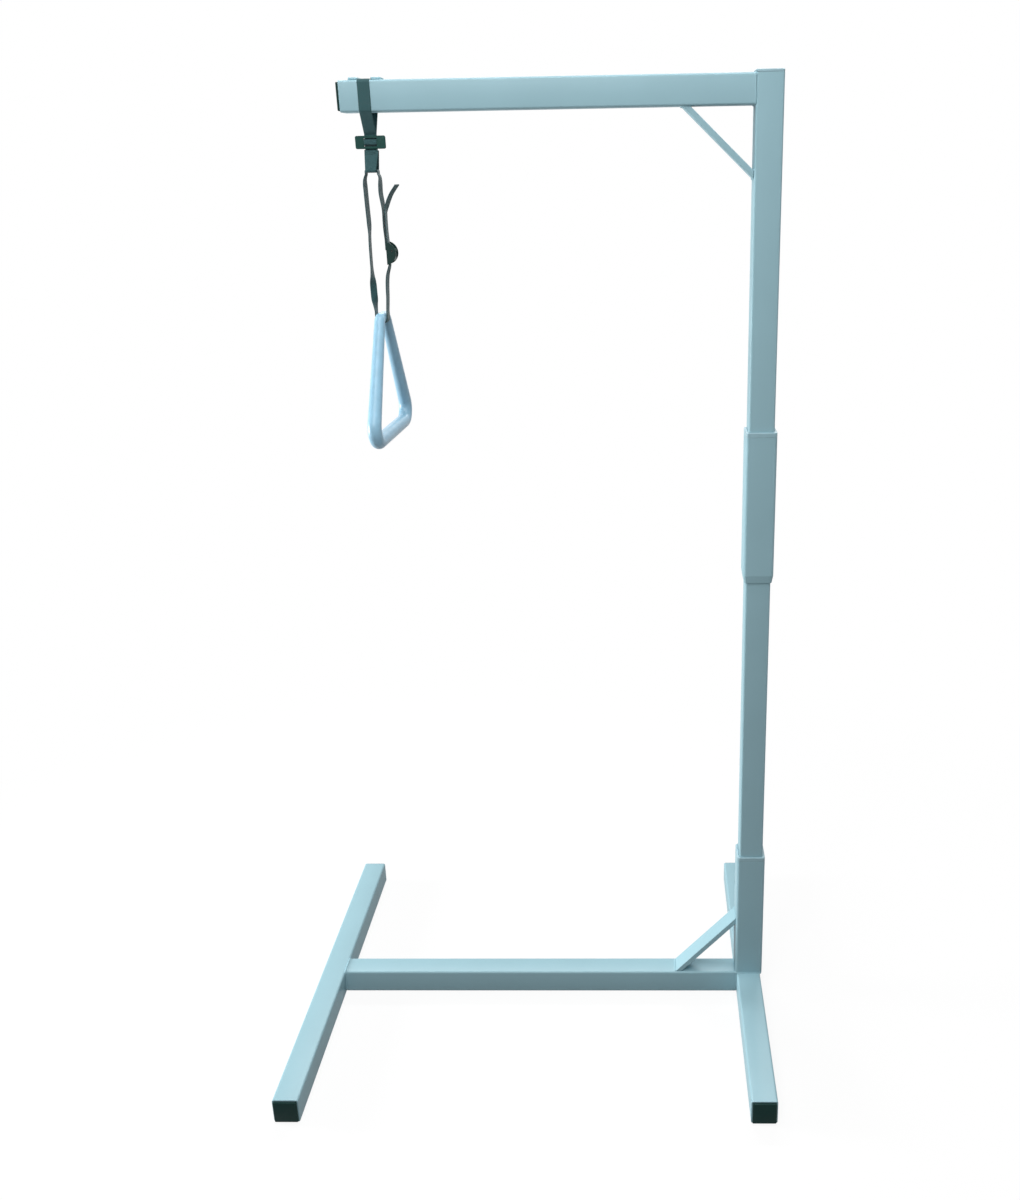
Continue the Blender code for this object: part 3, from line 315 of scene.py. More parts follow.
def moulded_plastic(tree, colour, rough, grain, shine=0.5):
    """Moulded plastic with a fine spark-eroded grain."""
    place = object_place(tree)
    gloss = noise(tree, place, scale=90.0, detail=4.0)
    eroded = noise(tree, place, scale=2300.0, detail=1.0)
    return {
        "Base Color": mottled(tree, place, colour, scale=60.0, spread=0.06),
        "Roughness": ranged(tree, gloss, low=rough - 0.06, high=rough + 0.08),
        "Normal": bumped(tree, eroded, strength=grain, distance=0.00006),
        "Specular IOR Level": shine,
    }


def zinc_plate(tree, colour):
    """Bright zinc with fine turning marks."""
    place = object_place(tree)
    marks = noise(tree, place, scale=700.0, detail=3.0)
    return {
        "Base Color": mottled(tree, place, colour, scale=240.0, spread=0.08),
        "Roughness": ranged(tree, marks, low=0.22, high=0.42),
        "Normal": bumped(tree, marks, strength=0.12, distance=0.00004),
        "Metallic": 1.0,
    }


def woven_yarn(tree, colour):
    """Webbing: fine yarns along and across the strap, read from its own UV map in metres."""
    run = add_node(tree, "ShaderNodeUVMap", uv_map="weave").outputs["UV"]
    lengthwise = stripes(tree, run, scale=410.0, direction="X", wobble=0.4)
    crosswise = stripes(tree, run, scale=560.0, direction="Y", wobble=0.6)
    yarns = combined(tree, "MULTIPLY", lengthwise, crosswise)
    fuzz = noise(tree, run, scale=190.0, detail=6.0)
    inputs = {
        "Factor": ranged(tree, fuzz, low=0.0, high=0.35),
        MIX_FIRST: two_tone(tree, yarns, colour, factors=(0.70, 1.22)),
        MIX_SECOND: shade(colour, factor=1.45),
    }
    return {
        "Base Color": add_node(tree, "ShaderNodeMix", inputs, data_type="RGBA").outputs[MIX_RESULT],
        "Roughness": ranged(tree, fuzz, low=0.68, high=0.90),
        "Normal": bumped(tree, yarns, strength=0.5, distance=0.00012),
        "Sheen Weight": 0.25,
        "Sheen Roughness": 0.45,
    }


def twisted_thread(tree, colour):
    """Sewing thread with its twist."""
    run = add_node(tree, "ShaderNodeUVMap", uv_map="weave").outputs["UV"]
    turned = add_node(tree, "ShaderNodeMapping", {"Vector": run, "Rotation": (0, 0, THREAD_TWIST)})
    ply = stripes(tree, turned.outputs["Vector"], scale=640.0)
    return {
        "Base Color": two_tone(tree, ply, colour, factors=(0.75, 1.2)),
        "Normal": bumped(tree, ply, strength=0.4, distance=0.0001),
        "Roughness": 0.6,
    }


def finish_of(name):
    """The material of a finish, made once."""
    found = bpy.data.materials.get("finish_" + name)
    if found:
        return found
    colour = bpy.context.scene.trapeze_colours
    # After a plastic's colour come its roughness, the depth of its grain and its shine
    make, *values = {
        "coat": (powder_coat, colour.coat),
        "cap": (moulded_plastic, colour.cap, 0.48, 0.5, 0.12),
        "bush": (moulded_plastic, colour.bush, 0.42, 0.3),
        "steel": (zinc_plate, colour.steel),
        "dark_steel": (zinc_plate, [v * PIN_SHADE for v in colour.steel]),
        "webbing": (woven_yarn, colour.webbing),
        "thread": (twisted_thread, colour.thread),
        "buckle": (moulded_plastic, colour.buckle, 0.42, 0.4, 0.2),
        "cam": (moulded_plastic, [v * CAM_SHADE for v in colour.buckle], 0.36, 0.4, 0.25),
        "grip": (moulded_plastic, colour.grip, 0.34, 0.2),
    }[name]
    material = bpy.data.materials.new("finish_" + name)
    material.use_nodes = True
    tree = material.node_tree
    set_inputs(tree, tree.nodes["Principled BSDF"], make(tree, *values))
    return material


# Shared ways of making a piece

def shaped_object(name, shape, finish):
    """A piece from a bmesh, smooth where its faces meet gently."""
    mesh = bpy.data.meshes.new(name)
    shape.to_mesh(mesh)
    shape.free()
    mesh.materials.append(finish_of(finish))
    mesh.shade_smooth()
    mesh.set_sharp_from_angle(angle=SMOOTH_ANGLE)
    piece = bpy.data.objects.new(name, mesh)
    bpy.context.scene.collection.objects.link(piece)
    return piece


def held_by(piece, body, slot, *nodes):
    """Let a piece ride on a body, and stand for the nodes that it replaces."""
    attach(piece, body)
    if nodes:
        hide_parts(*nodes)


def bending(piece, first, second, start, end, *nodes):
    """Set the webbing's place into its own mesh, and stand for its nodes."""
    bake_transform(piece)
    if nodes:
        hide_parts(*nodes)


def body_of(node):
    """The body that a node belongs to."""
    return frame["nodes"][node]["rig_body"]


def clean_copy(node):
    """A node's own shape as welded, flat-dissolved faces."""
    shape = bmesh.new()
    shape.from_mesh(frame["nodes"][node].data)
    bmesh.ops.remove_doubles(shape, verts=shape.verts, dist=WELD_DISTANCE)
    bmesh.ops.dissolve_limit(
        shape, angle_limit=FLAT_ANGLE, verts=shape.verts, edges=shape.edges, delimit=set(),
    )
    return shape


def finished_node(node, finish, edge=None, segments=2, slot=None):
    """A machined or moulded node with its edges softened."""
    piece = shaped_object(node + "_finished", clean_copy(node), finish)
    soft = piece.modifiers.new("soft edge", "BEVEL")
    soft.width = edge or sizes().soft_edge
    soft.segments = segments
    soft.limit_method = "ANGLE"
    soft.angle_limit = EDGE_ANGLE
    held_by(piece, body_of(node), slot or finish, node)


def wrapped_piece(name, finish, places, across, along, closed_run=False):
    """A piece from its rings of points, with its UV map in metres, its seam welded and its ends closed."""
    row_count, column_count = places.shape[0] - 1, places.shape[1] - 1
    shape = bmesh.new()
    bmesh.ops.create_grid(shape, x_segments=column_count, y_segments=row_count, size=1.0)
    layer = shape.loops.layers.uv.new("weave")
    for vert in shape.verts:
        column = round((vert.co.x + 1) / 2 * column_count)
        row = round((vert.co.y + 1) / 2 * row_count)
        vert.co = places[row, column]
        for loop in vert.link_loops:
            loop[layer].uv = (across[column], along[row])
    bmesh.ops.remove_doubles(shape, verts=shape.verts, dist=WELD_DISTANCE)
    if not closed_run:
        bmesh.ops.holes_fill(shape, edges=[edge for edge in shape.edges if edge.is_boundary], sides=0)
    bmesh.ops.recalc_face_normals(shape, faces=shape.faces)
    return shaped_object(name, shape, finish)


def lengths_along(points):
    """Distance along a line of points."""
    steps = np.linalg.norm(np.diff(points, axis=0), axis=1)
    return np.concatenate([[0.0], np.cumsum(steps)])


def even_points(points, spacing, *others):
    """The same line, and values that go with it, read at even distances."""
    points = np.asarray(points, float)
    run = lengths_along(points)
    count = max(int(round(run[-1] / spacing)), 2)
    at = np.linspace(0, run[-1], count + 1)
    read = [np.stack([np.interp(at, run, values[:, k]) for k in range(values.shape[1])], 1)
            for values in [points] + [np.asarray(o, float) for o in others]]
    return at, read


def softened(points, reach):
    """Round the corners of a line by averaging near neighbours, its ends kept."""
    if reach < 1:
        return points
    kernel = np.ones(2 * reach + 1) / (2 * reach + 1)
    first = points[0] - (points[1:reach + 1] - points[0])[::-1]
    last = points[-1] - (points[-reach - 1:-1] - points[-1])[::-1]
    long = np.vstack([first, points, last])
    return np.stack([np.convolve(long[:, k], kernel, mode="valid") for k in range(3)], 1)


def unit(vectors):
    """Vectors of length one."""
    return vectors / np.maximum(np.linalg.norm(vectors, axis=1, keepdims=True), 1e-12)


def directions(points, closed=False):
    """The direction of a line at each of its points."""
    if not closed:
        return unit(np.gradient(points, axis=0))
    before, after = np.roll(points, 1, axis=0), np.roll(points, -1, axis=0)
    before[0], after[-1] = points[-2], points[1]
    return unit(after - before)


def ring_places(points, side, up, reach, angle):
    """Rings of points round a line, from how far each lies out at each angle."""
    across = (reach * np.cos(angle))[:, :, None]
    rise = (reach * np.sin(angle))[:, :, None]
    return points[:, None, :] + side[:, None, :] * across + up[:, None, :] * rise


def webbing_section():
    """Half-width share, edge offset, height share and rib share of each point round the webbing."""
    ring = []
    for face in (1, -1):
        ring += [(face * (2 * k / WEB_COLUMNS - 1), 0.0, face, 1.0) for k in range(WEB_COLUMNS + 1)]
        for k in range(1, WEB_EDGE_STEPS):
            angle = math.pi / 2 - math.pi * k / WEB_EDGE_STEPS
            ring.append((face, face * math.cos(angle), face * math.sin(angle), 0.0))
    ring.append(ring[0])
    return np.array(ring)


def rib_height(across, along, pitch, depth):
    """The webbing's herringbone ribs."""
    lean = np.abs((across / RIB_COLUMN) % 1.0 - 0.5) * 2
    return depth * (np.abs(np.sin(math.pi * (along / pitch + RIB_LEAN * lean))) - RIB_SINK)


def webbing(name, points, halves, thickness=None, soften=4):
    """Woven strap along a line of middle points, each with half its width as a vector."""
    setting = sizes()
    radius = (thickness or setting.webbing) / 2
    at, (middle, half) = even_points(points, setting.yarn / YARN_POINTS, halves)
    middle = softened(middle, soften)
    reach = np.linalg.norm(half, axis=1)
    forward = directions(middle)
    out = unit(np.cross(forward, half))
    side = np.cross(out, forward)
    share, edge, height, rib = webbing_section().T
    across = share[None, :] * (reach[:, None] - radius) + edge[None, :] * radius
    ribs = rib_height(across, at[:, None], setting.yarn, setting.yarn_depth)
    border = np.clip((1 - np.abs(share)) * RIB_FADE, 0, 1)
    lift = height * radius + np.sign(height) * ribs * rib * border
    places = middle[:, None, :] + side[:, None, :] * across[:, :, None] + out[:, None, :] * lift[:, :, None]
    uv_across = share * np.mean(reach) + edge * radius + np.where(height < 0, REAR_UV_SHIFT, 0.0)
    return wrapped_piece(name, "webbing", places, uv_across, at)


def round_run(name, points, radii, finish, segments, closed=False):
    """A round bar or bead along a line, its radius given at each point."""
    points = np.asarray(points, float)
    radii = np.asarray(radii, float).reshape(-1, 1)
    forward = directions(points, closed)
    side = np.zeros_like(points)
    side[0] = unit(np.cross(forward[0], FIRST_SIDE)[None, :])[0]
    for k in range(1, len(points)):
        turned = side[k - 1] - forward[k] * np.dot(side[k - 1], forward[k])
        side[k] = turned / np.linalg.norm(turned)
    if closed:
        side[-1] = side[0]
    angle = np.linspace(0, 2 * math.pi, segments + 1)
    places = ring_places(points, side, np.cross(forward, side), radii, angle)
    return wrapped_piece(name, finish, places, angle * float(radii.mean()), lengths_along(points), closed)


def smooth_route(points, steps=6):
    """Points on a smooth curve through the given pairs."""
    points = [Vector(p) for p in points]
    before = [points[0]] + points[:-1]
    after = points[1:] + [points[-1]]
    route = []
    for i in range(len(points) - 1):
        start, end = points[i], points[i + 1]
        lead_in = (end - before[i]) / 2
        lead_out = (after[i + 1] - start) / 2
        for k in range(steps):
            t = k / steps
            route.append(
                start * (2 * t**3 - 3 * t**2 + 1) + lead_in * (t**3 - 2 * t**2 + t)
                + end * (3 * t**2 - 2 * t**3) + lead_out * (t**3 - t**2)
            )
    route.append(points[-1])
    return [tuple(p) for p in route]


def arc(centre, radius, start, end, steps=10):
    """Points of an arc as pairs, angles in degrees."""
    angles = [math.radians(start + (end - start) * k / steps) for k in range(steps + 1)]
    return [(centre[0] + radius * math.cos(a), centre[1] + radius * math.sin(a)) for a in angles]


def mid(low, high):
    """The point halfway between two corners."""
    return (low + high) / 2


def mirrored(route):
    """The other half of a route that runs back on itself, as pairs."""
    return [(-across, z) for across, z in reversed(route)]


# Welds

# A bead's points along each ripple and round it, how deep the ripples go, and the share of its radius
# left at its ends
RIPPLE_POINTS = 5
BEAD_SEGMENTS = 10
RIPPLE_DEPTH = 0.14
BEAD_END = 0.02
# How far each weld's line lies inside the tube or bar that it goes round or along
STUB_WELD_INSET = 0.0004
ARM_WELD_INSET = 0.0006
BRACE_WELD_INSET = 0.001
STOP_WELD_INSET = 0.002
STOP_WELD_LIFT = 0.0006
# The arm is deeper than the mast, so its weld is narrower, and the nuts' welds lie inside their rims
ARM_WELD_WIDTH = 0.96
NUT_WELD_WIDTH = 0.93
# Points round a nut's weld
NUT_WELD_STEPS = 40
# Where the beam's welds start above the floor
BEAM_WELD_FOOT = 0.004
# The stub overhangs its foot, and there its weld tucks in and drops
OVERHANG_MARGIN = 0.001
OVERHANG_TUCK = 0.45
OVERHANG_DROP = 0.2


def weld_bead(name, points, body, closed=False):
    """A painted weld bead with its ripples, along a corner line."""
    setting = sizes()
    points = np.asarray(points, float)
    if closed:
        points = np.vstack([points, points[:1]])
    at, (line,) = even_points(points, setting.weld_ripple / RIPPLE_POINTS)
    turns = max(round(at[-1] / setting.weld_ripple), 1)
    ripple = np.abs(np.cos(math.pi * at / at[-1] * turns))
    radii = setting.weld * (1 - RIPPLE_DEPTH + RIPPLE_DEPTH * ripple)
    if not closed:
        fade = np.minimum(at, at[-1] - at) / setting.weld
        radii = radii * np.sqrt(np.clip(fade, BEAD_END, 1.0))
    held_by(round_run(name, line, radii, "coat", BEAD_SEGMENTS, closed), body, "coat")


def rounded_square(half, corner):
    """The outline of a tube's end as pairs, in order round it."""
    line = []
    for turn, (sx, sy) in enumerate(((1, 1), (-1, 1), (-1, -1), (1, -1))):
        centre = (sx * (half - corner), sy * (half - corner))
        line += arc(centre, corner, 90 * turn, 90 * turn + 90, CORNER_STEPS)
    return line


def weld_stub_foot():
    """Round the stub, dropped at the foot's outer side, which the stub overhangs."""
    low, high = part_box("mast_stub")
    centre = mid(low, high)
    foot_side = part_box("right_cross_foot")[1].x
    ring = []
    for x, y in rounded_square((high.x - low.x) / 2 - STUB_WELD_INSET, SOCKET_CORNER):
        over = max(centre.x + x - foot_side + OVERHANG_MARGIN, 0)
        ring.append((centre.x + x - over * OVERHANG_TUCK, y, low.z - GAP - over * OVERHANG_DROP))
    weld_bead("stub_foot_weld", ring, "base_frame", True)


def weld_beam_ends():
    """Up one side of the beam, over its top and down the other, at both feet."""
    low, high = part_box("base_beam")
    flat = (high.y - low.y) / 2 - TUBE_CORNER
    turn_z = high.z - TUBE_CORNER
    over = [(low.y, BEAM_WELD_FOOT), (low.y, turn_z)]
    over += arc((-flat, turn_z), TUBE_CORNER, 180, 90, CORNER_STEPS)
    over += arc((flat, turn_z), TUBE_CORNER, 90, 0, CORNER_STEPS)
    over += [(high.y, BEAM_WELD_FOOT)]
    for name, x in (("left", low.x), ("right", high.x)):
        weld_bead(f"{name}_beam_weld", [(x, y, z) for y, z in over], "base_frame")


def weld_arm_end():
    """All round the arm where it meets the mast."""
    low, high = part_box("arm")
    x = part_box("upper_mast")[0].x - GAP
    centre_z = mid(low, high).z
    ring = rounded_square((high.z - low.z) / 2 - ARM_WELD_INSET, TUBE_CORNER)
    line = [(x, y * ARM_WELD_WIDTH, centre_z + z) for y, z in ring]
    weld_bead("arm_weld", line, "upper_mast_body", True)


def weld_brace_ends(node, body, face_z, face_x, up):
    """Both faces of a brace, at its tube and at its mast."""
    low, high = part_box(node)
    half = (high.y - low.y) / 2 - BRACE_WELD_INSET
    slope = math.atan2(high.z - low.z, high.x - low.x)
    far = high.z if up > 0 else low.z
    places = {
        "outer": (low.x, face_z),
        "inner": (low.x + BAR_THICKNESS / math.sin(slope), face_z),
        "far": (face_x, far),
        "near": (face_x, far - up * BAR_THICKNESS / math.cos(slope)),
    }
    for name, (x, z) in places.items():
        weld_bead(f"{node}_{name}_weld", [(x, y, z) for y in (-half, half)], body)


def weld_stop_sides():
    """Short beads on the outer sides of the strap stops."""
    for node, outer in (("outer_strap_stop", 0), ("inner_strap_stop", 1)):
        low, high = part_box(node)
        x = (low.x, high.x)[outer]
        z = low.z - GAP - STOP_WELD_LIFT
        line = [(x, y, z) for y in (low.y + STOP_WELD_INSET, high.y - STOP_WELD_INSET)]
        weld_bead(f"{node}_weld", line, "upper_mast_body")


def weld_nut_rings():
    """Round the clamp nuts at the rear of the sockets."""
    for node in ("lower_lock_nut", "upper_lock_nut"):
        low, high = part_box(node)
        centre = mid(low, high)
        radius = (high.z - low.z) / 2 * NUT_WELD_WIDTH
        circle = arc((0, 0), radius, 0, 360, NUT_WELD_STEPS)[:-1]
        ring = [(centre.x + x, low.y - GAP, centre.z + z) for x, z in circle]
        weld_bead(f"{node}_weld", ring, body_of(node), True)


class BuildWelds(bpy.types.Operator):
    """Beads where tubes, braces, stops and nuts are welded on"""
    bl_idname = "trapeze.build_welds"
    bl_label = "Weld beads"

    def execute(self, context):
        beam_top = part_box("base_beam")[1].z
        arm_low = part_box("arm")[0].z
        weld_beam_ends()
        weld_stub_foot()
        weld_arm_end()
        weld_brace_ends("base_brace", "base_frame", beam_top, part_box("mast_stub")[0].x, 1)
        weld_brace_ends("arm_brace", "upper_mast_body", arm_low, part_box("upper_mast")[0].x, -1)
        weld_stop_sides()
        weld_nut_rings()
        return {"FINISHED"}


class BuildTubes(bpy.types.Operator):
    """Coated tubes, braces and strap stops with their edges broken"""
    bl_idname = "trapeze.build_tubes"
    bl_label = "Tubes and braces"

    def execute(self, context):
        for node in (
            "left_cross_foot", "right_cross_foot", "base_beam", "mast_stub", "lower_mast", "coupling_sleeve",
            "sleeve_spacer", "upper_mast", "arm",
        ):
            finished_node(node, "coat", TUBE_EDGE)
        for node in ("base_brace", "arm_brace"):
            finished_node(node, "coat", BAR_EDGE, 3)
        for node in ("outer_strap_stop", "inner_strap_stop"):
            finished_node(node, "coat", TUBE_EDGE)
        return {"FINISHED"}


class BuildPlugs(bpy.types.Operator):
    """Ribbed end plugs and the guide bushes of the two sockets"""
    bl_idname = "trapeze.build_plugs"
    bl_label = "Plugs and bushes"

    def execute(self, context):
        for node in (
            "left_front_foot_cap", "left_rear_foot_cap", "right_front_foot_cap", "right_rear_foot_cap",
            "arm_end_cap",
        ):
            finished_node(node, "cap")
        for node in ("mast_top_cap", "stub_guide_bush", "sleeve_guide_bush"):
            finished_node(node, "bush")
        return {"FINISHED"}


# Points along one turn of the clamp screws' thread and round it, its depth, the plain lengths at the
# screw's tip and under its knob, how softly the thread runs out, and the turned tip
THREAD_ROWS = 8
THREAD_SEGMENTS = 28
THREAD_DEPTH = 0.00062
PLAIN_TIP = 0.002
PLAIN_SHANK = 0.004
THREAD_RUN_OUT = 0.001
SHANK_DROP = 0.0003
TIP_LENGTH = 0.0008
TIP_DROP = 0.001


def build_threaded_screw(prefix):
    """The stud, with a rolled thread along it and a turned tip."""
    node = f"{prefix}_lock_screw"
    low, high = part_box(node)
    centre = mid(low, high)
    radius = (high.z - low.z) / 2
    length = high.y - low.y
    pitch = sizes().screw_pitch
    angle = np.linspace(0, 2 * math.pi, THREAD_SEGMENTS + 1)
    along = np.linspace(0, length, int(length / pitch * THREAD_ROWS) + 1)
    wave = (along[:, None] / pitch - angle[None, :] / (2 * math.pi)) % 1.0
    depth = THREAD_DEPTH * (1 - np.abs(2 * wave - 1))
    after_tip = np.clip((along - PLAIN_TIP) / THREAD_RUN_OUT, 0, 1)
    before_shank = np.clip((length - PLAIN_SHANK - along) / THREAD_RUN_OUT, 0, 1)
    threaded = (after_tip * before_shank)[:, None]
    tip = (np.clip(along / TIP_LENGTH, 0, 1) * TIP_DROP - TIP_DROP)[:, None]
    reach = radius - depth * threaded - SHANK_DROP * (1 - threaded) + tip
    places = np.stack([
        centre.x + reach * np.cos(angle)[None, :],
        np.broadcast_to(low.y + along[:, None], reach.shape),
        centre.z + reach * np.sin(angle)[None, :],
    ], axis=2)
    piece = wrapped_piece(f"{prefix}_threaded_stud", "steel", places, angle * radius, along)
    held_by(piece, body_of(node), "steel", node)


class BuildClamps(bpy.types.Operator):
    """Clamp screws with their star knobs, weld nuts and pressure pads"""
    bl_idname = "trapeze.build_clamps"
    bl_label = "Clamp screws"

    def execute(self, context):
        for prefix in ("lower", "upper"):
            finished_node(f"{prefix}_lock_nut", "coat", NUT_EDGE)
            finished_node(f"{prefix}_lock_pad", "steel", PAD_EDGE)
            finished_node(f"{prefix}_lock_knob", "cap", KNOB_EDGE, 3)
            build_threaded_screw(prefix)
        return {"FINISHED"}


# Strap sizes, read from the frame where a node shows them

# Strap over the arm: half its width, its middle, how far each of its two layers lies from the middle, where
# the hanger begins, and the points down a leg
BAND_LOW, BAND_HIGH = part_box("arm_strap_band")
HALF_STRAP = (BAND_HIGH.x - BAND_LOW.x) / 2
STRAP_X = mid(BAND_LOW, BAND_HIGH).x
LAYER_Y = 0.0011
ARM_LOW, ARM_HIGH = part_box("arm")
HANGER_TOP = 1.823
LEG_STEPS = 8
# Slide buckle: its rails, its middle bar, and how much the webbing spreads inside it
SLIDE_LOW, SLIDE_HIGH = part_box("cross_buckle")
SLIDE_EDGE = 0.0007
SLIDE_RAIL = 0.004
SLIDE_BAR_HEIGHT = 0.004
SLIDE_BAR_THICKNESS = 0.002
SLOT_SPREAD = 0.0004
# Eye at the hanger's lower end, its sleeve, and the stitches across its neck
EYE_X = STRAP_X - 0.0021
EYE_Z = 1.761
EYE_NECK_Z = 1.796
EYE_HALF_Y = 0.0115
EYE_CORNER = 0.0015
EYE_HALF_WIDTH = 0.0092
SLEEVE_HALF_WIDTH = 0.0126
SLEEVE_THICK = 0.0012
EYE_STITCH_DROPS = (0.003, 0.006)
EYE_STITCH_LIFT = 0.0022
EYE_STITCH_LEAN = 0.35
EYE_STITCH_HALF = 0.010
# Adjusting loop: its half-width, its bight in the eye, and where the first stretch of each strand ends
LOOP_HALF_WIDTH = 0.010
LOOP_TOP_Z = 1.7631
LOOP_HALF = 0.011
LOOP_CORNER = 0.002
LOOP_CORNER_STEPS = 8
LOOP_JOIN_Z = 1.7575
LOOP_SPLIT_Z = 1.735
# Turn of both strands towards the front below the eye, how fast it fades, and where the left one ends
EYE_TURN = math.radians(9)
EYE_TURN_FADE = 0.022
LEFT_TURN_END = 1.650
# Straight stretch at a strand's ends, the points from one push to the next, and each strand's pushes along
# X: share of the way down, distance
STRAND_LEAD = 0.0015
STRAND_STEPS = 8
LEFT_PUSHES = (
    (0.05, -0.0033), (0.14, -0.0031), (0.25, -0.0023), (0.38, -0.0014), (0.51, -0.0024), (0.67, -0.0024),
    (0.80, -0.0020), (0.90, -0.0014),
)
UPPER_PUSHES = ((0.07, 0.0020), (0.28, 0.0002), (0.48, 0.0016), (0.78, -0.0002))
LOWER_PUSHES = ((0.10, -0.0012), (0.24, -0.0032), (0.45, -0.0030), (0.72, -0.0012))
TAIL_PUSHES = ((0.24, -0.0030), (0.64, -0.0034))
# Twist of the left strand above the grip: share of its length and degrees, and how far it narrows
TWIST = ((0.68, 0), (0.74, 10), (0.79, 35), (0.84, 56), (0.885, 60), (0.92, 36), (0.95, 14), (1.0, 0))
TWIST_PINCH = 0.40
LOWER_TURN = math.radians(6)
LOWER_BEND_DROP = 0.004
# A stitch's points along and round it, how flat its arch is, and its rise and dip against the thread's radius
STITCH_POINTS = 8
STITCH_SEGMENTS = 6
STITCH_FLATNESS = 1.8
STITCH_RISE = 1.5
STITCH_DIP = 0.8
# Cam buckle: the webbing on its plate's two faces, how far the sewn end goes in, and its stitches
BUCKLE_LOW, BUCKLE_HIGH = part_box("cam_buckle_frame")
PLATE_X = EYE_X + 0.0166
PLATE_THICK = 0.0013
THREAD_X = PLATE_X + PLATE_THICK + GAP + STRAP_THICK / 2
SEAM_X = PLATE_X - GAP - STRAP_THICK / 2
SEAM_LEAD = 0.002
SEAM_DEPTH = 0.015
SEAM_STITCH_DROPS = (0.004, 0.011)
PIN_EASE = 0.0004
PIN_SEGMENTS = 32
SPRING_WIRE = 0.0004
SPRING_SEGMENTS = 10
SPRING_TURNS = 4
SPRING_TURN_POINTS = 40
# Tail: its lower run up the upper strand's outer side as heights and distances out, then its free tip
TAIL_BEND_Z = 1.647
TAIL_START_Z = 1.6897
TAIL_RUN_UP = 0.006
TAIL_COURSE = ((1.657, 0.0009), (1.669, 0.0009), (1.6797, 0.0010), (TAIL_START_Z, 0.0014))
TAIL_LEAN = 0.0236
TAIL_RISE = 0.0485
TAIL_TURN = math.radians(12)
TAIL_TURN_PACE = 3
# Hem at the tail's end: half the width of its stitches, their rows, and how far on its direction is read
HEM_HALF = 0.008
HEM_DROPS = (0.003, 0.009)
HEM_AHEAD = 0.001
# Hand grip: the middle of its top bar, its outline, and the radii of its top and bottom bars
GRIP_X = EYE_X - 0.0025
GRIP_Z = 1.504
GRIP_YAW = math.radians(2.5)
GRIP_HEIGHT = 0.2156
GRIP_TOP_HALF = 0.0205
GRIP_BOTTOM_HALF = 0.141
GRIP_TOP_RADIUS = 0.0098
GRIP_BOTTOM_RADIUS = 0.0133
GRIP_TOP_BEND = 0.0125
GRIP_TOP_BEND_STEPS = 16
GRIP_BOTTOM_BEND = 0.027
GRIP_BOTTOM_BEND_STEPS = 28
# Its surface: distance between rings, points round a ring, and the mould's seam as width and height
GRIP_STEP = 0.0022
GRIP_SEGMENTS = 40
GRIP_SEAM = (0.004, 0.00012)
# The webbing's bight under its top bar, and the stretch above it that turns with the grip
BIGHT_RADIUS = 0.0110
BIGHT_STEPS = 28
BIGHT_TOP_Z = 1.5158
GRIP_TURN_REACH = 0.025


def cross_strap(route, half_width=HALF_STRAP, end_half=None):
    """Points and half-widths of webbing whose width runs along X, from (y, z) pairs."""
    end_half = end_half or half_width
    points, halves = [], []
    for y, z in route:
        share = clamped((EYE_NECK_Z - z) / (EYE_NECK_Z - EYE_Z))
        points.append((STRAP_X + (EYE_X - STRAP_X) * share, y, z))
        halves.append((half_width + (end_half - half_width) * share, 0, 0))
    return points, halves


def loop_strap(route, halves=None):
    """Points and half-widths of webbing whose width runs along Y, from (x, z) pairs."""
    points = [(x, 0, z) for x, z in route]
    return points, halves or [(0, LOOP_HALF_WIDTH, 0)] * len(points)


def eye_turn(z, end=TAIL_START_Z):
    """How far the loop's webbing is turned towards the front between the eye and a height, in radians."""
    share = clamped((LOOP_JOIN_Z - z) / EYE_TURN_FADE) * clamped((z - end) / EYE_TURN_FADE)
    return EYE_TURN * share * share * (3 - 2 * share)


def turned_half(angle, half=LOOP_HALF_WIDTH):
    """A half-width turned towards the front."""
    return (half * math.sin(angle), half * math.cos(angle), 0)


def turned_to_grip(points, halves):
    """A strand's last stretch above the grip, turned with the grip's top bar."""
    axis = Vector((GRIP_X, 0, 0))
    turned_points, turned_halves = [], []
    for point, half in zip(points, halves):
        share = clamped((BIGHT_TOP_Z + GRIP_TURN_REACH - point[2]) / GRIP_TURN_REACH)
        turn = Matrix.Rotation(-GRIP_YAW * share, 3, "Z")
        turned_points.append(tuple(axis + turn @ (Vector(point) - axis)))
        turned_halves.append(tuple(turn @ Vector(half)))
    return turned_points, turned_halves


def stitch_row(name, points, outward, body):
    """A row of lockstitches, rising out of the webbing and dipping back in."""
    setting = sizes()
    at, (line,) = even_points(points, setting.stitch / STITCH_POINTS)
    count = max(round(at[-1] / setting.stitch), 1)
    phase = (at / at[-1] * count) % 1.0
    arch = np.clip(np.sin(math.pi * phase) * STITCH_FLATNESS, 0, 1)
    rise = setting.thread * (arch * STITCH_RISE - STITCH_DIP)
    outward = np.asarray(outward, float)
    raised = line + outward / np.linalg.norm(outward) * rise[:, None]
    row = round_run(name, raised, np.full(len(raised), setting.thread), "thread", STITCH_SEGMENTS)
    held_by(row, body, "webbing")


def arm_route():
    """Front half of the band, and where a leg leaves the arm's lower edge."""
    centre = Vector((ARM_LOW.y + TUBE_CORNER, ARM_LOW.z + TUBE_CORNER))
    radius = TUBE_CORNER + GAP + STRAP_THICK / 2
    target = Vector((-LAYER_Y, HANGER_TOP)) - centre
    turn = math.degrees(math.atan2(target.y, target.x) - math.acos(radius / target.length)) % 360
    lower = arc(centre, radius, turn, 180)
    upper = arc((centre.x, ARM_HIGH.z - TUBE_CORNER), radius, 180, 90)
    return lower + upper, lower[0]


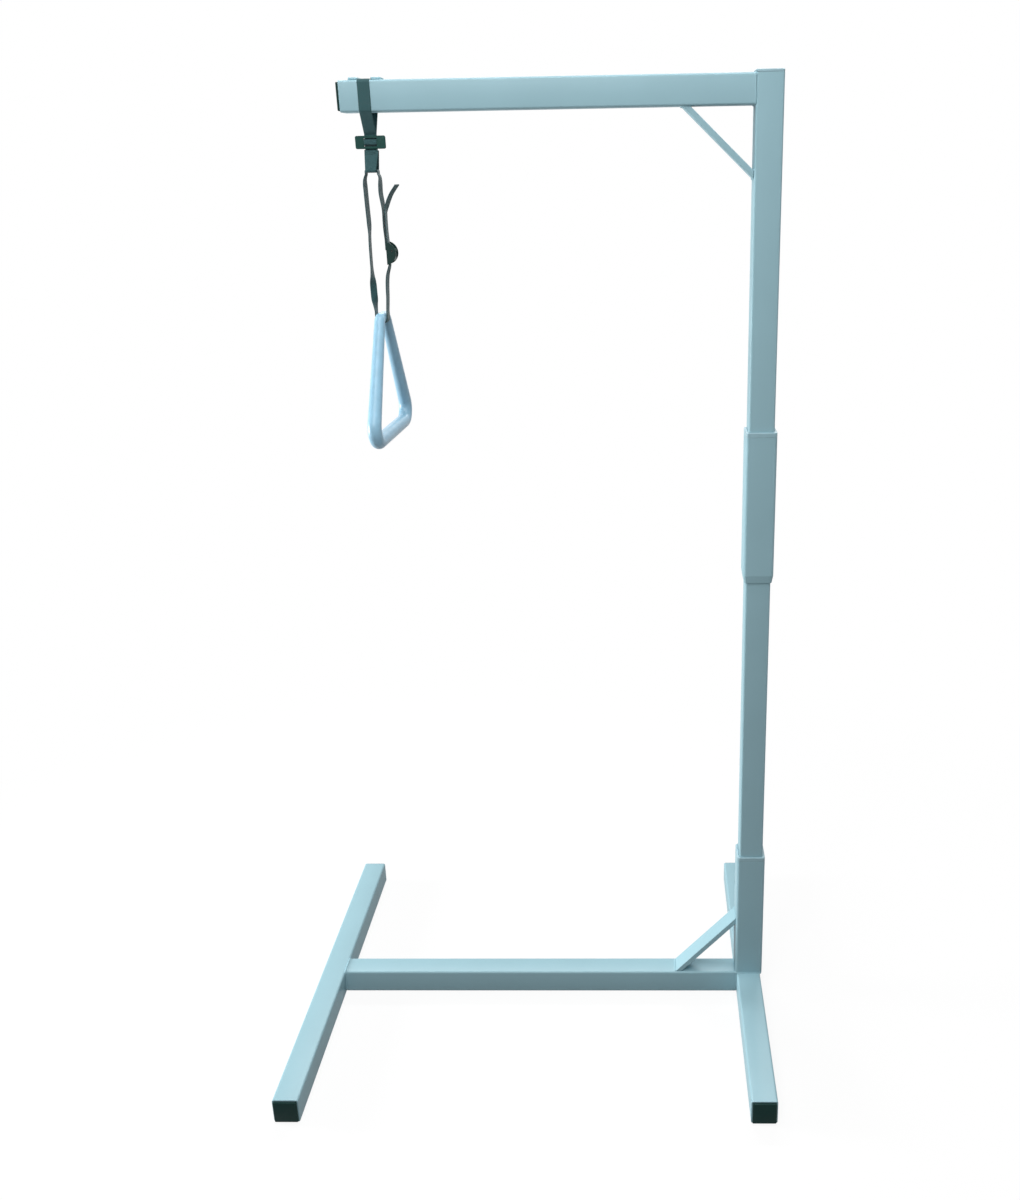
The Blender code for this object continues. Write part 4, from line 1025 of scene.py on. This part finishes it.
def slide_route():
    """The front layer through the slide buckle, over its bar."""
    over = SLIDE_LOW.y + (SLIDE_HIGH.y - SLIDE_LOW.y - SLIDE_BAR_THICKNESS) / 2 - GAP - STRAP_THICK / 2
    inner = (SLIDE_HIGH.z - SLIDE_LOW.z) / 2 - SLIDE_RAIL - STRAP_THICK / 2
    outer = SLIDE_BAR_HEIGHT / 2 + STRAP_THICK / 3
    z = mid(SLIDE_LOW, SLIDE_HIGH).z
    return [(-LAYER_Y, z + inner), (over, z + outer), (over, z - outer), (-LAYER_Y, z - inner)]


def build_hanger():
    """Webbing through the slide buckle, down round the eye and up the rear."""
    eye = eye_half()
    route = [(-LAYER_Y, HANGER_TOP)] + slide_route() + eye + mirrored(eye[:-1]) + [(LAYER_Y, HANGER_TOP)]
    points, halves = cross_strap(route, HALF_STRAP, EYE_HALF_WIDTH)
    in_slide = [SLIDE_LOW.z < z < SLIDE_HIGH.z for _, _, z in points]
    halves = [(x + SLOT_SPREAD * inside, y, z) for (x, y, z), inside in zip(halves, in_slide)]
    held_by(webbing("hanger_webbing", points, halves, soften=2), "hanger", "webbing", "hanger_strap")


def build_eye_cover():
    """The webbing sleeve on the eye."""
    eye = eye_half()
    lift = STRAP_THICK / 2 + GAP + SLEEVE_THICK / 2
    route = moved_out(eye + mirrored(eye[:-1]), lift)
    points, halves = cross_strap(route, SLEEVE_HALF_WIDTH, EYE_HALF_WIDTH + 2 * GAP)
    cover = webbing("eye_sleeve_webbing", points, halves, thickness=SLEEVE_THICK, soften=2)
    held_by(cover, "hanger", "webbing", "eye_sleeve")


def build_loop_top():
    """The adjusting loop's webbing where it lies in the eye."""
    half = [(-LOOP_HALF, LOOP_JOIN_Z)]
    half += arc((LOOP_CORNER - LOOP_HALF, LOOP_TOP_Z - LOOP_CORNER), LOOP_CORNER, 180, 90, LOOP_CORNER_STEPS)
    route = [(EYE_X + x, z) for x, z in half + mirrored(half)]
    held_by(webbing("loop_top_webbing", *loop_strap(route), soften=1), "hanger", "webbing", "loop_top_bight")


def eye_half():
    """The front half of the eye as (y, z) pairs, down to the middle of its floor."""
    corner_y, corner_z = EYE_CORNER - EYE_HALF_Y, EYE_Z + EYE_CORNER
    lean = math.degrees(math.atan2(EYE_HALF_Y - LAYER_Y, EYE_NECK_Z - corner_z))
    return [(-LAYER_Y, EYE_NECK_Z)] + arc((corner_y, corner_z), EYE_CORNER, 180 - lean, 270) + [(0, EYE_Z)]


def moved_out(route, distance):
    """A route moved sideways by a distance."""
    line = np.array(route)
    forward = directions(line)
    return [tuple(p) for p in line + np.stack([forward[:, 1], -forward[:, 0]], 1) * distance]


def stitch_eye():
    """Sewn rows across the neck of the eye, front and rear."""
    for side, sign in (("front", -1), ("rear", 1)):
        for row, drop in enumerate(EYE_STITCH_DROPS):
            y = sign * (LAYER_Y + EYE_STITCH_LIFT + EYE_STITCH_LEAN * drop)
            line = [(STRAP_X + x, y, EYE_NECK_Z - drop) for x in (-EYE_STITCH_HALF, EYE_STITCH_HALF)]
            stitch_row(f"eye_{side}_stitches_{row + 1}", line, (0, sign, 0), "hanger")


def build_legs(start):
    """The two legs that meet below the arm, from where the front one leaves it."""
    run, fall = -LAYER_Y - start[0], HANGER_TOP - start[1]
    shares = [k / LEG_STEPS for k in range(LEG_STEPS + 1)]
    bend = (STRAP_X, 0, ARM_LOW.z), (STRAP_X, 0, HANGER_TOP)
    for name, sign in (("front_strap_leg", 1), ("rear_strap_leg", -1)):
        route = [(sign * (start[0] + run * share), start[1] + fall * share) for share in shares]
        leg = webbing(name + "_webbing", *cross_strap(route), soften=0)
        bending(leg, "upper_mast_body", "hanger", *bend, name)


class BuildUpperStrap(bpy.types.Operator):
    """Webbing round the arm, its two legs, and the hanger with its sewn eye"""
    bl_idname = "trapeze.build_upper_strap"
    bl_label = "Upper strap"

    def execute(self, context):
        half, start = arm_route()
        band = webbing("arm_band_webbing", *cross_strap(half + mirrored(half)))
        held_by(band, "upper_mast_body", "webbing", "arm_strap_band")
        build_legs(start)
        build_hanger()
        build_eye_cover()
        build_loop_top()
        stitch_eye()
        return {"FINISHED"}


def strand_route(top, bottom, pushes):
    """A smooth strand between two ends, upright at both."""
    top, bottom = Vector(top), Vector(bottom)
    lead = Vector((0, math.copysign(STRAND_LEAD, bottom.y - top.y)))
    points = [top + lead]
    points += [top.lerp(bottom, share) + Vector((push, 0)) for share, push in pushes]
    points.append(bottom - lead)
    return [tuple(top)] + smooth_route(points, STRAND_STEPS) + [tuple(bottom)]


def split_route(route, height):
    """A falling route cut in two at a height."""
    line = np.array(route)
    x = float(np.interp(-height, -line[:, 1], line[:, 0]))
    above = [p for p in route if p[1] > height] + [(x, height)]
    below = [(x, height)] + [p for p in route if p[1] < height]
    return above, below


def build_top_piece(name, route, halves):
    """The strand's first stretch, from the eye down to where the loop splits."""
    piece = webbing(name, *loop_strap(route, halves), soften=2)
    bending(piece, "hanger", "lower_loop", (EYE_X, 0, LOOP_JOIN_Z), (EYE_X, 0, LOOP_SPLIT_Z))


def build_left_strand():
    """The strand with the twist, from the eye to the grip."""
    top = (EYE_X - LOOP_HALF, LOOP_JOIN_Z)
    bottom = (GRIP_X - BIGHT_RADIUS, BIGHT_TOP_Z)
    above, below = split_route(strand_route(top, bottom, LEFT_PUSHES), LOOP_SPLIT_Z)
    build_top_piece("left_strand_top_webbing", above, twisted_halves(above, top[1], bottom[1]))
    halves = twisted_halves(below, top[1], bottom[1])
    piece = webbing("left_strand_webbing", *turned_to_grip(*loop_strap(below, halves)), soften=2)
    start, end = (EYE_X, 0, LOOP_SPLIT_Z), (EYE_X, 0, BIGHT_TOP_Z)
    bending(piece, "lower_loop", "grip_bight_body", start, end, "left_strand")


def twisted_halves(route, high, low):
    """Half-widths that turn to the front and back along the lower part of the strand."""
    shares, degrees = np.array(smooth_route(TWIST)).T
    halves = []
    for _, z in route:
        turn = math.radians(np.interp((high - z) / (high - low), shares, degrees))
        half = LOOP_HALF_WIDTH * (1 - TWIST_PINCH * abs(math.sin(turn)))
        halves.append(turned_half(turn + eye_turn(z, LEFT_TURN_END), half))
    return halves


def build_upper_right_strand():
    """The strand from the eye to its seam on the cam buckle."""
    top = (EYE_X + LOOP_HALF, LOOP_JOIN_Z)
    route = strand_route(top, (SEAM_X, BUCKLE_HIGH.z + SEAM_LEAD), UPPER_PUSHES)
    route.append((SEAM_X, BUCKLE_HIGH.z - SEAM_DEPTH))
    above, below = split_route(route, LOOP_SPLIT_Z)
    build_top_piece("right_strand_top_webbing", above, [turned_half(eye_turn(z)) for _, z in above])
    halves = [turned_half(eye_turn(z)) for _, z in below]
    piece = webbing("upper_right_webbing", *loop_strap(below, halves), soften=2)
    held_by(piece, "lower_loop", "webbing", "upper_right_strand")
    x = SEAM_X - STRAP_THICK / 2
    for row, drop in enumerate(SEAM_STITCH_DROPS):
        line = [(x, y, BUCKLE_HIGH.z - drop) for y in (-HEM_HALF, HEM_HALF)]
        stitch_row(f"buckle_stitches_{row + 1}", line, (-1, 0, 0), "lower_loop")


def build_lower_right_strand():
    """The strand from the cam buckle to the grip."""
    start_z = BUCKLE_LOW.z + GAP
    route = strand_route((THREAD_X, start_z), (GRIP_X + BIGHT_RADIUS, BIGHT_TOP_Z), LOWER_PUSHES)
    last = len(route) - 1
    halves = [turned_half(LOWER_TURN * math.sin(math.pi * k / last)) for k in range(len(route))]
    piece = webbing("lower_right_webbing", *turned_to_grip(*loop_strap(route, halves)), soften=6)
    start, end = (EYE_X, 0, start_z - LOWER_BEND_DROP), (EYE_X, 0, BIGHT_TOP_Z)
    bending(piece, "lower_loop", "grip_bight_body", start, end, "lower_right_strand")


def build_tail():
    """The webbing's free end, up the upper strand's side and out."""
    lay = SEAM_X + STRAP_THICK + GAP
    route = [(THREAD_X, BUCKLE_LOW.z + 2 * GAP), (THREAD_X, TAIL_BEND_Z - TAIL_RUN_UP)]
    route += [(lay + out, z) for z, out in TAIL_COURSE]
    piece = webbing("tail_webbing", *loop_strap(route), soften=6)
    start, end = (EYE_X, 0, TAIL_BEND_Z), (EYE_X, 0, TAIL_START_Z)
    bending(piece, "lower_loop", "tail_tip_body", start, end, "tail_strand")
    x, z = route[-1]
    tip = strand_route((x, z), (x + TAIL_LEAN, z + TAIL_RISE), TAIL_PUSHES)
    halves = [turned_half(TAIL_TURN * min(TAIL_TURN_PACE * k / len(tip), 1)) for k in range(len(tip))]
    piece = webbing("tail_tip_webbing", *loop_strap(tip, halves), soften=2)
    held_by(piece, "tail_tip_body", "webbing", "tail_tip")
    stitch_hem(tip, Vector(halves[-1]))


def place_along(line, at):
    """The point at a distance along a line."""
    run = lengths_along(line)
    return Vector([np.interp(at, run, line[:, k]) for k in range(3)])


def stitch_hem(tip, half):
    """Two sewn rows across the tail's end, on both its faces."""
    line = np.array([(x, 0, z) for x, z in reversed(tip)])
    for row, back in enumerate(HEM_DROPS):
        place = place_along(line, back)
        forward = (place_along(line, back + HEM_AHEAD) - place).normalized()
        out = forward.cross(half).normalized()
        side = out.cross(forward)
        for face, sign in (("outer", 1), ("inner", -1)):
            start = place + out * (sign * STRAP_THICK / 2)
            across = [tuple(start + side * reach) for reach in (-HEM_HALF, HEM_HALF)]
            stitch_row(f"tail_{face}_stitches_{row + 1}", across, out * sign, "tail_tip_body")


def build_bight():
    """The webbing under the grip's top bar."""
    turn = Matrix.Rotation(-GRIP_YAW, 3, "Z")
    axis = Vector((GRIP_X, 0, GRIP_Z))
    lift = BIGHT_TOP_Z - GRIP_Z
    under = arc((0, 0), BIGHT_RADIUS, 180, 360, BIGHT_STEPS)
    route = [(-BIGHT_RADIUS, lift)] + under + [(BIGHT_RADIUS, lift)]
    points = [axis + turn @ Vector((x, 0, z)) for x, z in route]
    halves = [turn @ Vector((0, LOOP_HALF_WIDTH, 0))] * len(points)
    piece = webbing("grip_bight_webbing", points, halves, soften=0)
    held_by(piece, "grip_bight_body", "webbing", "grip_bight")


class BuildLoop(bpy.types.Operator):
    """Strands of the adjusting loop, its tail, and the bight round the grip's bar"""
    bl_idname = "trapeze.build_loop"
    bl_label = "Adjusting loop"

    def execute(self, context):
        build_left_strand()
        build_upper_right_strand()
        build_lower_right_strand()
        build_tail()
        build_bight()
        return {"FINISHED"}


def build_hinge_pin():
    """The blackened hinge pin with its ends broken."""
    low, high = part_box("cam_hinge_pin")
    centre = mid(low, high)
    reach = (high.y - low.y) / 2
    radius = (high.z - low.z) / 2
    along = [-reach, PIN_EASE - reach, reach - PIN_EASE, reach]
    radii = [radius - PIN_EASE, radius, radius, radius - PIN_EASE]
    points = [(centre.x, centre.y + y, centre.z) for y in along]
    pin = round_run("cam_pin", points, radii, "dark_steel", PIN_SEGMENTS)
    held_by(pin, "lower_loop", "steel", "cam_hinge_pin")


def build_torsion_spring():
    """The coil of round wire on the hinge pin."""
    low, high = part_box("cam_spring")
    centre = mid(low, high)
    radius = (high.x - low.x) / 2 - SPRING_WIRE
    reach = (high.y - low.y) / 2 - SPRING_WIRE
    angle = np.linspace(0, 2 * math.pi * SPRING_TURNS, SPRING_TURN_POINTS * SPRING_TURNS + 1)
    points = np.stack([
        centre.x + radius * np.cos(angle),
        centre.y + np.linspace(-reach, reach, len(angle)),
        centre.z + radius * np.sin(angle),
    ], axis=1)
    radii = np.full(len(points), SPRING_WIRE)
    coil = round_run("cam_torsion_spring", points, radii, "steel", SPRING_SEGMENTS)
    held_by(coil, "lower_loop", "steel", "cam_spring")


class BuildBuckles(bpy.types.Operator):
    """Slide buckle, and the cam buckle with its pin, spring and lever"""
    bl_idname = "trapeze.build_buckles"
    bl_label = "Buckles"

    def execute(self, context):
        finished_node("cross_buckle", "buckle", SLIDE_EDGE, 3)
        for node in ("cam_buckle_frame", "cam_lever"):
            finished_node(node, "cam", slot="buckle")
        build_hinge_pin()
        build_torsion_spring()
        return {"FINISHED"}


def grip_route():
    """The closed centre line as (y, z) pairs, from the middle of the top bar."""
    lean = math.atan2(GRIP_BOTTOM_HALF - GRIP_TOP_HALF, GRIP_HEIGHT)
    top_cut = GRIP_TOP_BEND * math.tan((math.pi / 2 - lean) / 2)
    bottom_cut = GRIP_BOTTOM_BEND * math.tan((math.pi / 2 + lean) / 2)
    side = math.degrees(lean)
    top = (GRIP_TOP_HALF - top_cut, -GRIP_TOP_BEND)
    bottom = (GRIP_BOTTOM_HALF - bottom_cut, GRIP_BOTTOM_BEND - GRIP_HEIGHT)
    half = [(0, 0)] + arc(top, GRIP_TOP_BEND, 90, side, GRIP_TOP_BEND_STEPS)
    half += arc(bottom, GRIP_BOTTOM_BEND, side, -90, GRIP_BOTTOM_BEND_STEPS) + [(0, -GRIP_HEIGHT)]
    return half + mirrored(half[:-1])


def grip_radius(z):
    """The grip's radius at a height below its top bar."""
    share = clamped(-z / GRIP_HEIGHT)
    return GRIP_TOP_RADIUS + (GRIP_BOTTOM_RADIUS - GRIP_TOP_RADIUS) * share


class BuildGrip(bpy.types.Operator):
    """Triangular hand grip, thicker towards its bottom bar"""
    bl_idname = "trapeze.build_grip"
    bl_label = "Hand grip"

    def execute(self, context):
        route = grip_route()
        flat = [(0, y, z) for y, z in route]
        radii = [[grip_radius(z)] for _, z in route]
        at, (line, radii) = even_points(flat, GRIP_STEP, radii)
        side = np.array([[1.0, 0, 0]] * len(line))
        up = np.cross(directions(line, True), side)
        angle = np.linspace(0, 2 * math.pi, GRIP_SEGMENTS + 1)
        width, height = GRIP_SEAM
        seam = np.exp(-((np.abs(np.cos(angle)) - 1) / width) ** 2) * height
        places = ring_places(line, side, up, radii + seam[None, :], angle)
        turn = np.array(Matrix.Rotation(-GRIP_YAW, 3, "Z"))
        places = places @ turn.T + np.array([GRIP_X, 0, GRIP_Z])
        grip = wrapped_piece("hand_grip", "grip", places, angle * GRIP_BOTTOM_RADIUS, at, True)
        held_by(grip, "grip_body", "grip", "trapeze_grip")
        return {"FINISHED"}


def build_camera():
    """The photograph's camera."""
    yaw, pitch, roll = CAMERA_YAW, CAMERA_PITCH, CAMERA_ROLL
    forward = Vector((math.sin(yaw) * math.cos(pitch), math.cos(yaw) * math.cos(pitch), math.sin(pitch)))
    right = Vector((math.cos(yaw), -math.sin(yaw), 0))
    down = forward.cross(right)
    image_right = math.cos(roll) * right + math.sin(roll) * down
    image_down = -math.sin(roll) * right + math.cos(roll) * down
    data = bpy.data.cameras.new("camera")
    data.lens = CAMERA_FOCAL_PIXELS / IMAGE_HEIGHT * data.sensor_width
    data.shift_x = -(CAMERA_CENTRE_PIXELS[0] - IMAGE_WIDTH / 2) / IMAGE_HEIGHT
    data.shift_y = (CAMERA_CENTRE_PIXELS[1] - IMAGE_HEIGHT / 2) / IMAGE_HEIGHT
    data.clip_start = NEAR_CLIP
    camera = bpy.data.objects.new("camera", data)
    bpy.context.scene.collection.objects.link(camera)
    axes = Matrix((image_right, -image_down, -forward)).transposed()
    camera.matrix_world = Matrix.Translation(CAMERA_PLACE) @ axes.to_4x4()
    bpy.context.scene.camera = camera


def build_floor():
    """A white floor that keeps a faint shadow."""
    shape = bmesh.new()
    bmesh.ops.create_grid(shape, x_segments=2, y_segments=2, size=FLOOR_HALF)
    bmesh.ops.translate(shape, vec=(0, 0, -FLOOR_DROP), verts=shape.verts)
    mesh = bpy.data.meshes.new("floor")
    shape.to_mesh(mesh)
    shape.free()
    mesh.materials.append(floor_material())
    floor = bpy.data.objects.new("floor", mesh)
    bpy.context.scene.collection.objects.link(floor)


def floor_material():
    """White where it is seen, with its shadow near the feet, and grey as a source of light."""
    material = bpy.data.materials.new("white floor")
    material.cycles.emission_sampling = "NONE"
    material.use_nodes = True
    tree = material.node_tree
    tree.nodes.clear()
    seen, matt = (
        add_node(tree, "ShaderNodeBsdfDiffuse", {"Color": (grey, grey, grey, 1)}).outputs["BSDF"]
        for grey in (FLOOR_SEEN, FLOOR_LIGHT)
    )
    white = add_node(tree, "ShaderNodeEmission", {"Color": WHITE, "Strength": 1.0}).outputs["Emission"]
    far = add_node(tree, "ShaderNodeVectorMath", {0: object_place(tree)}, operation="LENGTH")
    near_end, far_end = FLOOR_FADE
    near_white, far_white = FLOOR_WHITE
    fade = add_node(
        tree, "ShaderNodeMapRange",
        {"Value": far.outputs["Value"], "From Min": near_end, "From Max": far_end, "To Min": near_white,
         "To Max": far_white},
        interpolation_type="SMOOTHSTEP",
    )
    shown = mixed_shaders(tree, fade.outputs["Result"], seen, white)
    whole = mixed_shaders(tree, seen_directly(tree), matt, shown)
    add_node(tree, "ShaderNodeOutputMaterial", {"Surface": whole})
    return material


def mixed_shaders(tree, share, first, second):
    """Two shaders mixed."""
    return add_node(tree, "ShaderNodeMixShader", {0: share, 1: first, 2: second}).outputs["Shader"]


def seen_directly(tree):
    """One for what the camera, a reflection or a clear material sees, zero for light."""
    ray = add_node(tree, "ShaderNodeLightPath").outputs
    both = combined(tree, "MAXIMUM", ray["Is Camera Ray"], ray["Is Glossy Ray"])
    return combined(tree, "MAXIMUM", both, ray["Is Transmission Ray"])


def build_world():
    """White to the camera, softer as light."""
    world = bpy.data.worlds.new("white studio")
    world.use_nodes = True
    tree = world.node_tree
    tree.nodes.clear()
    soft, white = (
        add_node(tree, "ShaderNodeBackground", {"Color": WHITE, "Strength": strength}).outputs["Background"]
        for strength in (bpy.context.scene.trapeze_studio.ambient, 1.0)
    )
    shown = mixed_shaders(tree, seen_directly(tree), soft, white)
    add_node(tree, "ShaderNodeOutputWorld", {"Surface": shown})
    bpy.context.scene.world = world


def build_lamp(name, place, target, width, height, power):
    """A large soft lamp."""
    data = bpy.data.lights.new(name, "AREA")
    data.shape = "RECTANGLE"
    data.size = width
    data.size_y = height
    data.energy = power
    lamp = bpy.data.objects.new(name, data)
    bpy.context.scene.collection.objects.link(lamp)
    lamp.location = place
    lamp.rotation_euler = (Vector(target) - Vector(place)).to_track_quat("-Z", "Y").to_euler()


class BuildStage(bpy.types.Operator):
    """Camera, pale floor, white surroundings and soft lamps"""
    bl_idname = "trapeze.build_stage"
    bl_label = "Camera, floor and light"

    def execute(self, context):
        context.scene.view_settings.view_transform = "Standard"
        build_camera()
        build_floor()
        build_world()
        studio = context.scene.trapeze_studio
        for name, (place, target, width, height) in LAMPS.items():
            build_lamp(name + " lamp", place, target, width, height, getattr(studio, name))
        return {"FINISHED"}


class TrapezePanel(bpy.types.Panel):
    """Sizes, colours and steps of the bed trapeze"""
    bl_idname = "VIEW3D_PT_trapeze"
    bl_label = "Bed trapeze"
    bl_space_type = "VIEW_3D"
    bl_region_type = "UI"
    bl_category = "Trapeze"

    def draw(self, context):
        scene = context.scene
        for group in (scene.trapeze_sizes, scene.trapeze_colours, scene.trapeze_studio):
            column = self.layout.column()
            for name in group.bl_rna.properties.keys():
                if name not in ("rna_type", "name"):
                    column.prop(group, name)
        for operator in OPERATORS:
            self.layout.operator(operator.bl_idname)


GROUPS = {"trapeze_colours": TrapezeColours, "trapeze_sizes": TrapezeSizes, "trapeze_studio": TrapezeStudio}
OPERATORS = (
    BuildStage, BuildTubes, BuildWelds, BuildPlugs, BuildClamps, BuildUpperStrap, BuildLoop, BuildBuckles,
    BuildGrip,
)
CLASSES = (*GROUPS.values(), *OPERATORS, TrapezePanel)


def register():
    """Register the settings, the steps and the panel."""
    for item in CLASSES:
        bpy.utils.register_class(item)
    for name, group in GROUPS.items():
        setattr(bpy.types.Scene, name, PointerProperty(type=group))


def unregister():
    """Take the settings, the steps and the panel away."""
    for name in GROUPS:
        delattr(bpy.types.Scene, name)
    for item in reversed(CLASSES):
        bpy.utils.unregister_class(item)


def main():
    """Build the whole scene."""
    register()
    for operator in OPERATORS:
        group, name = operator.bl_idname.split(".")
        getattr(getattr(bpy.ops, group), name)()


if __name__ == "__main__":
    main()
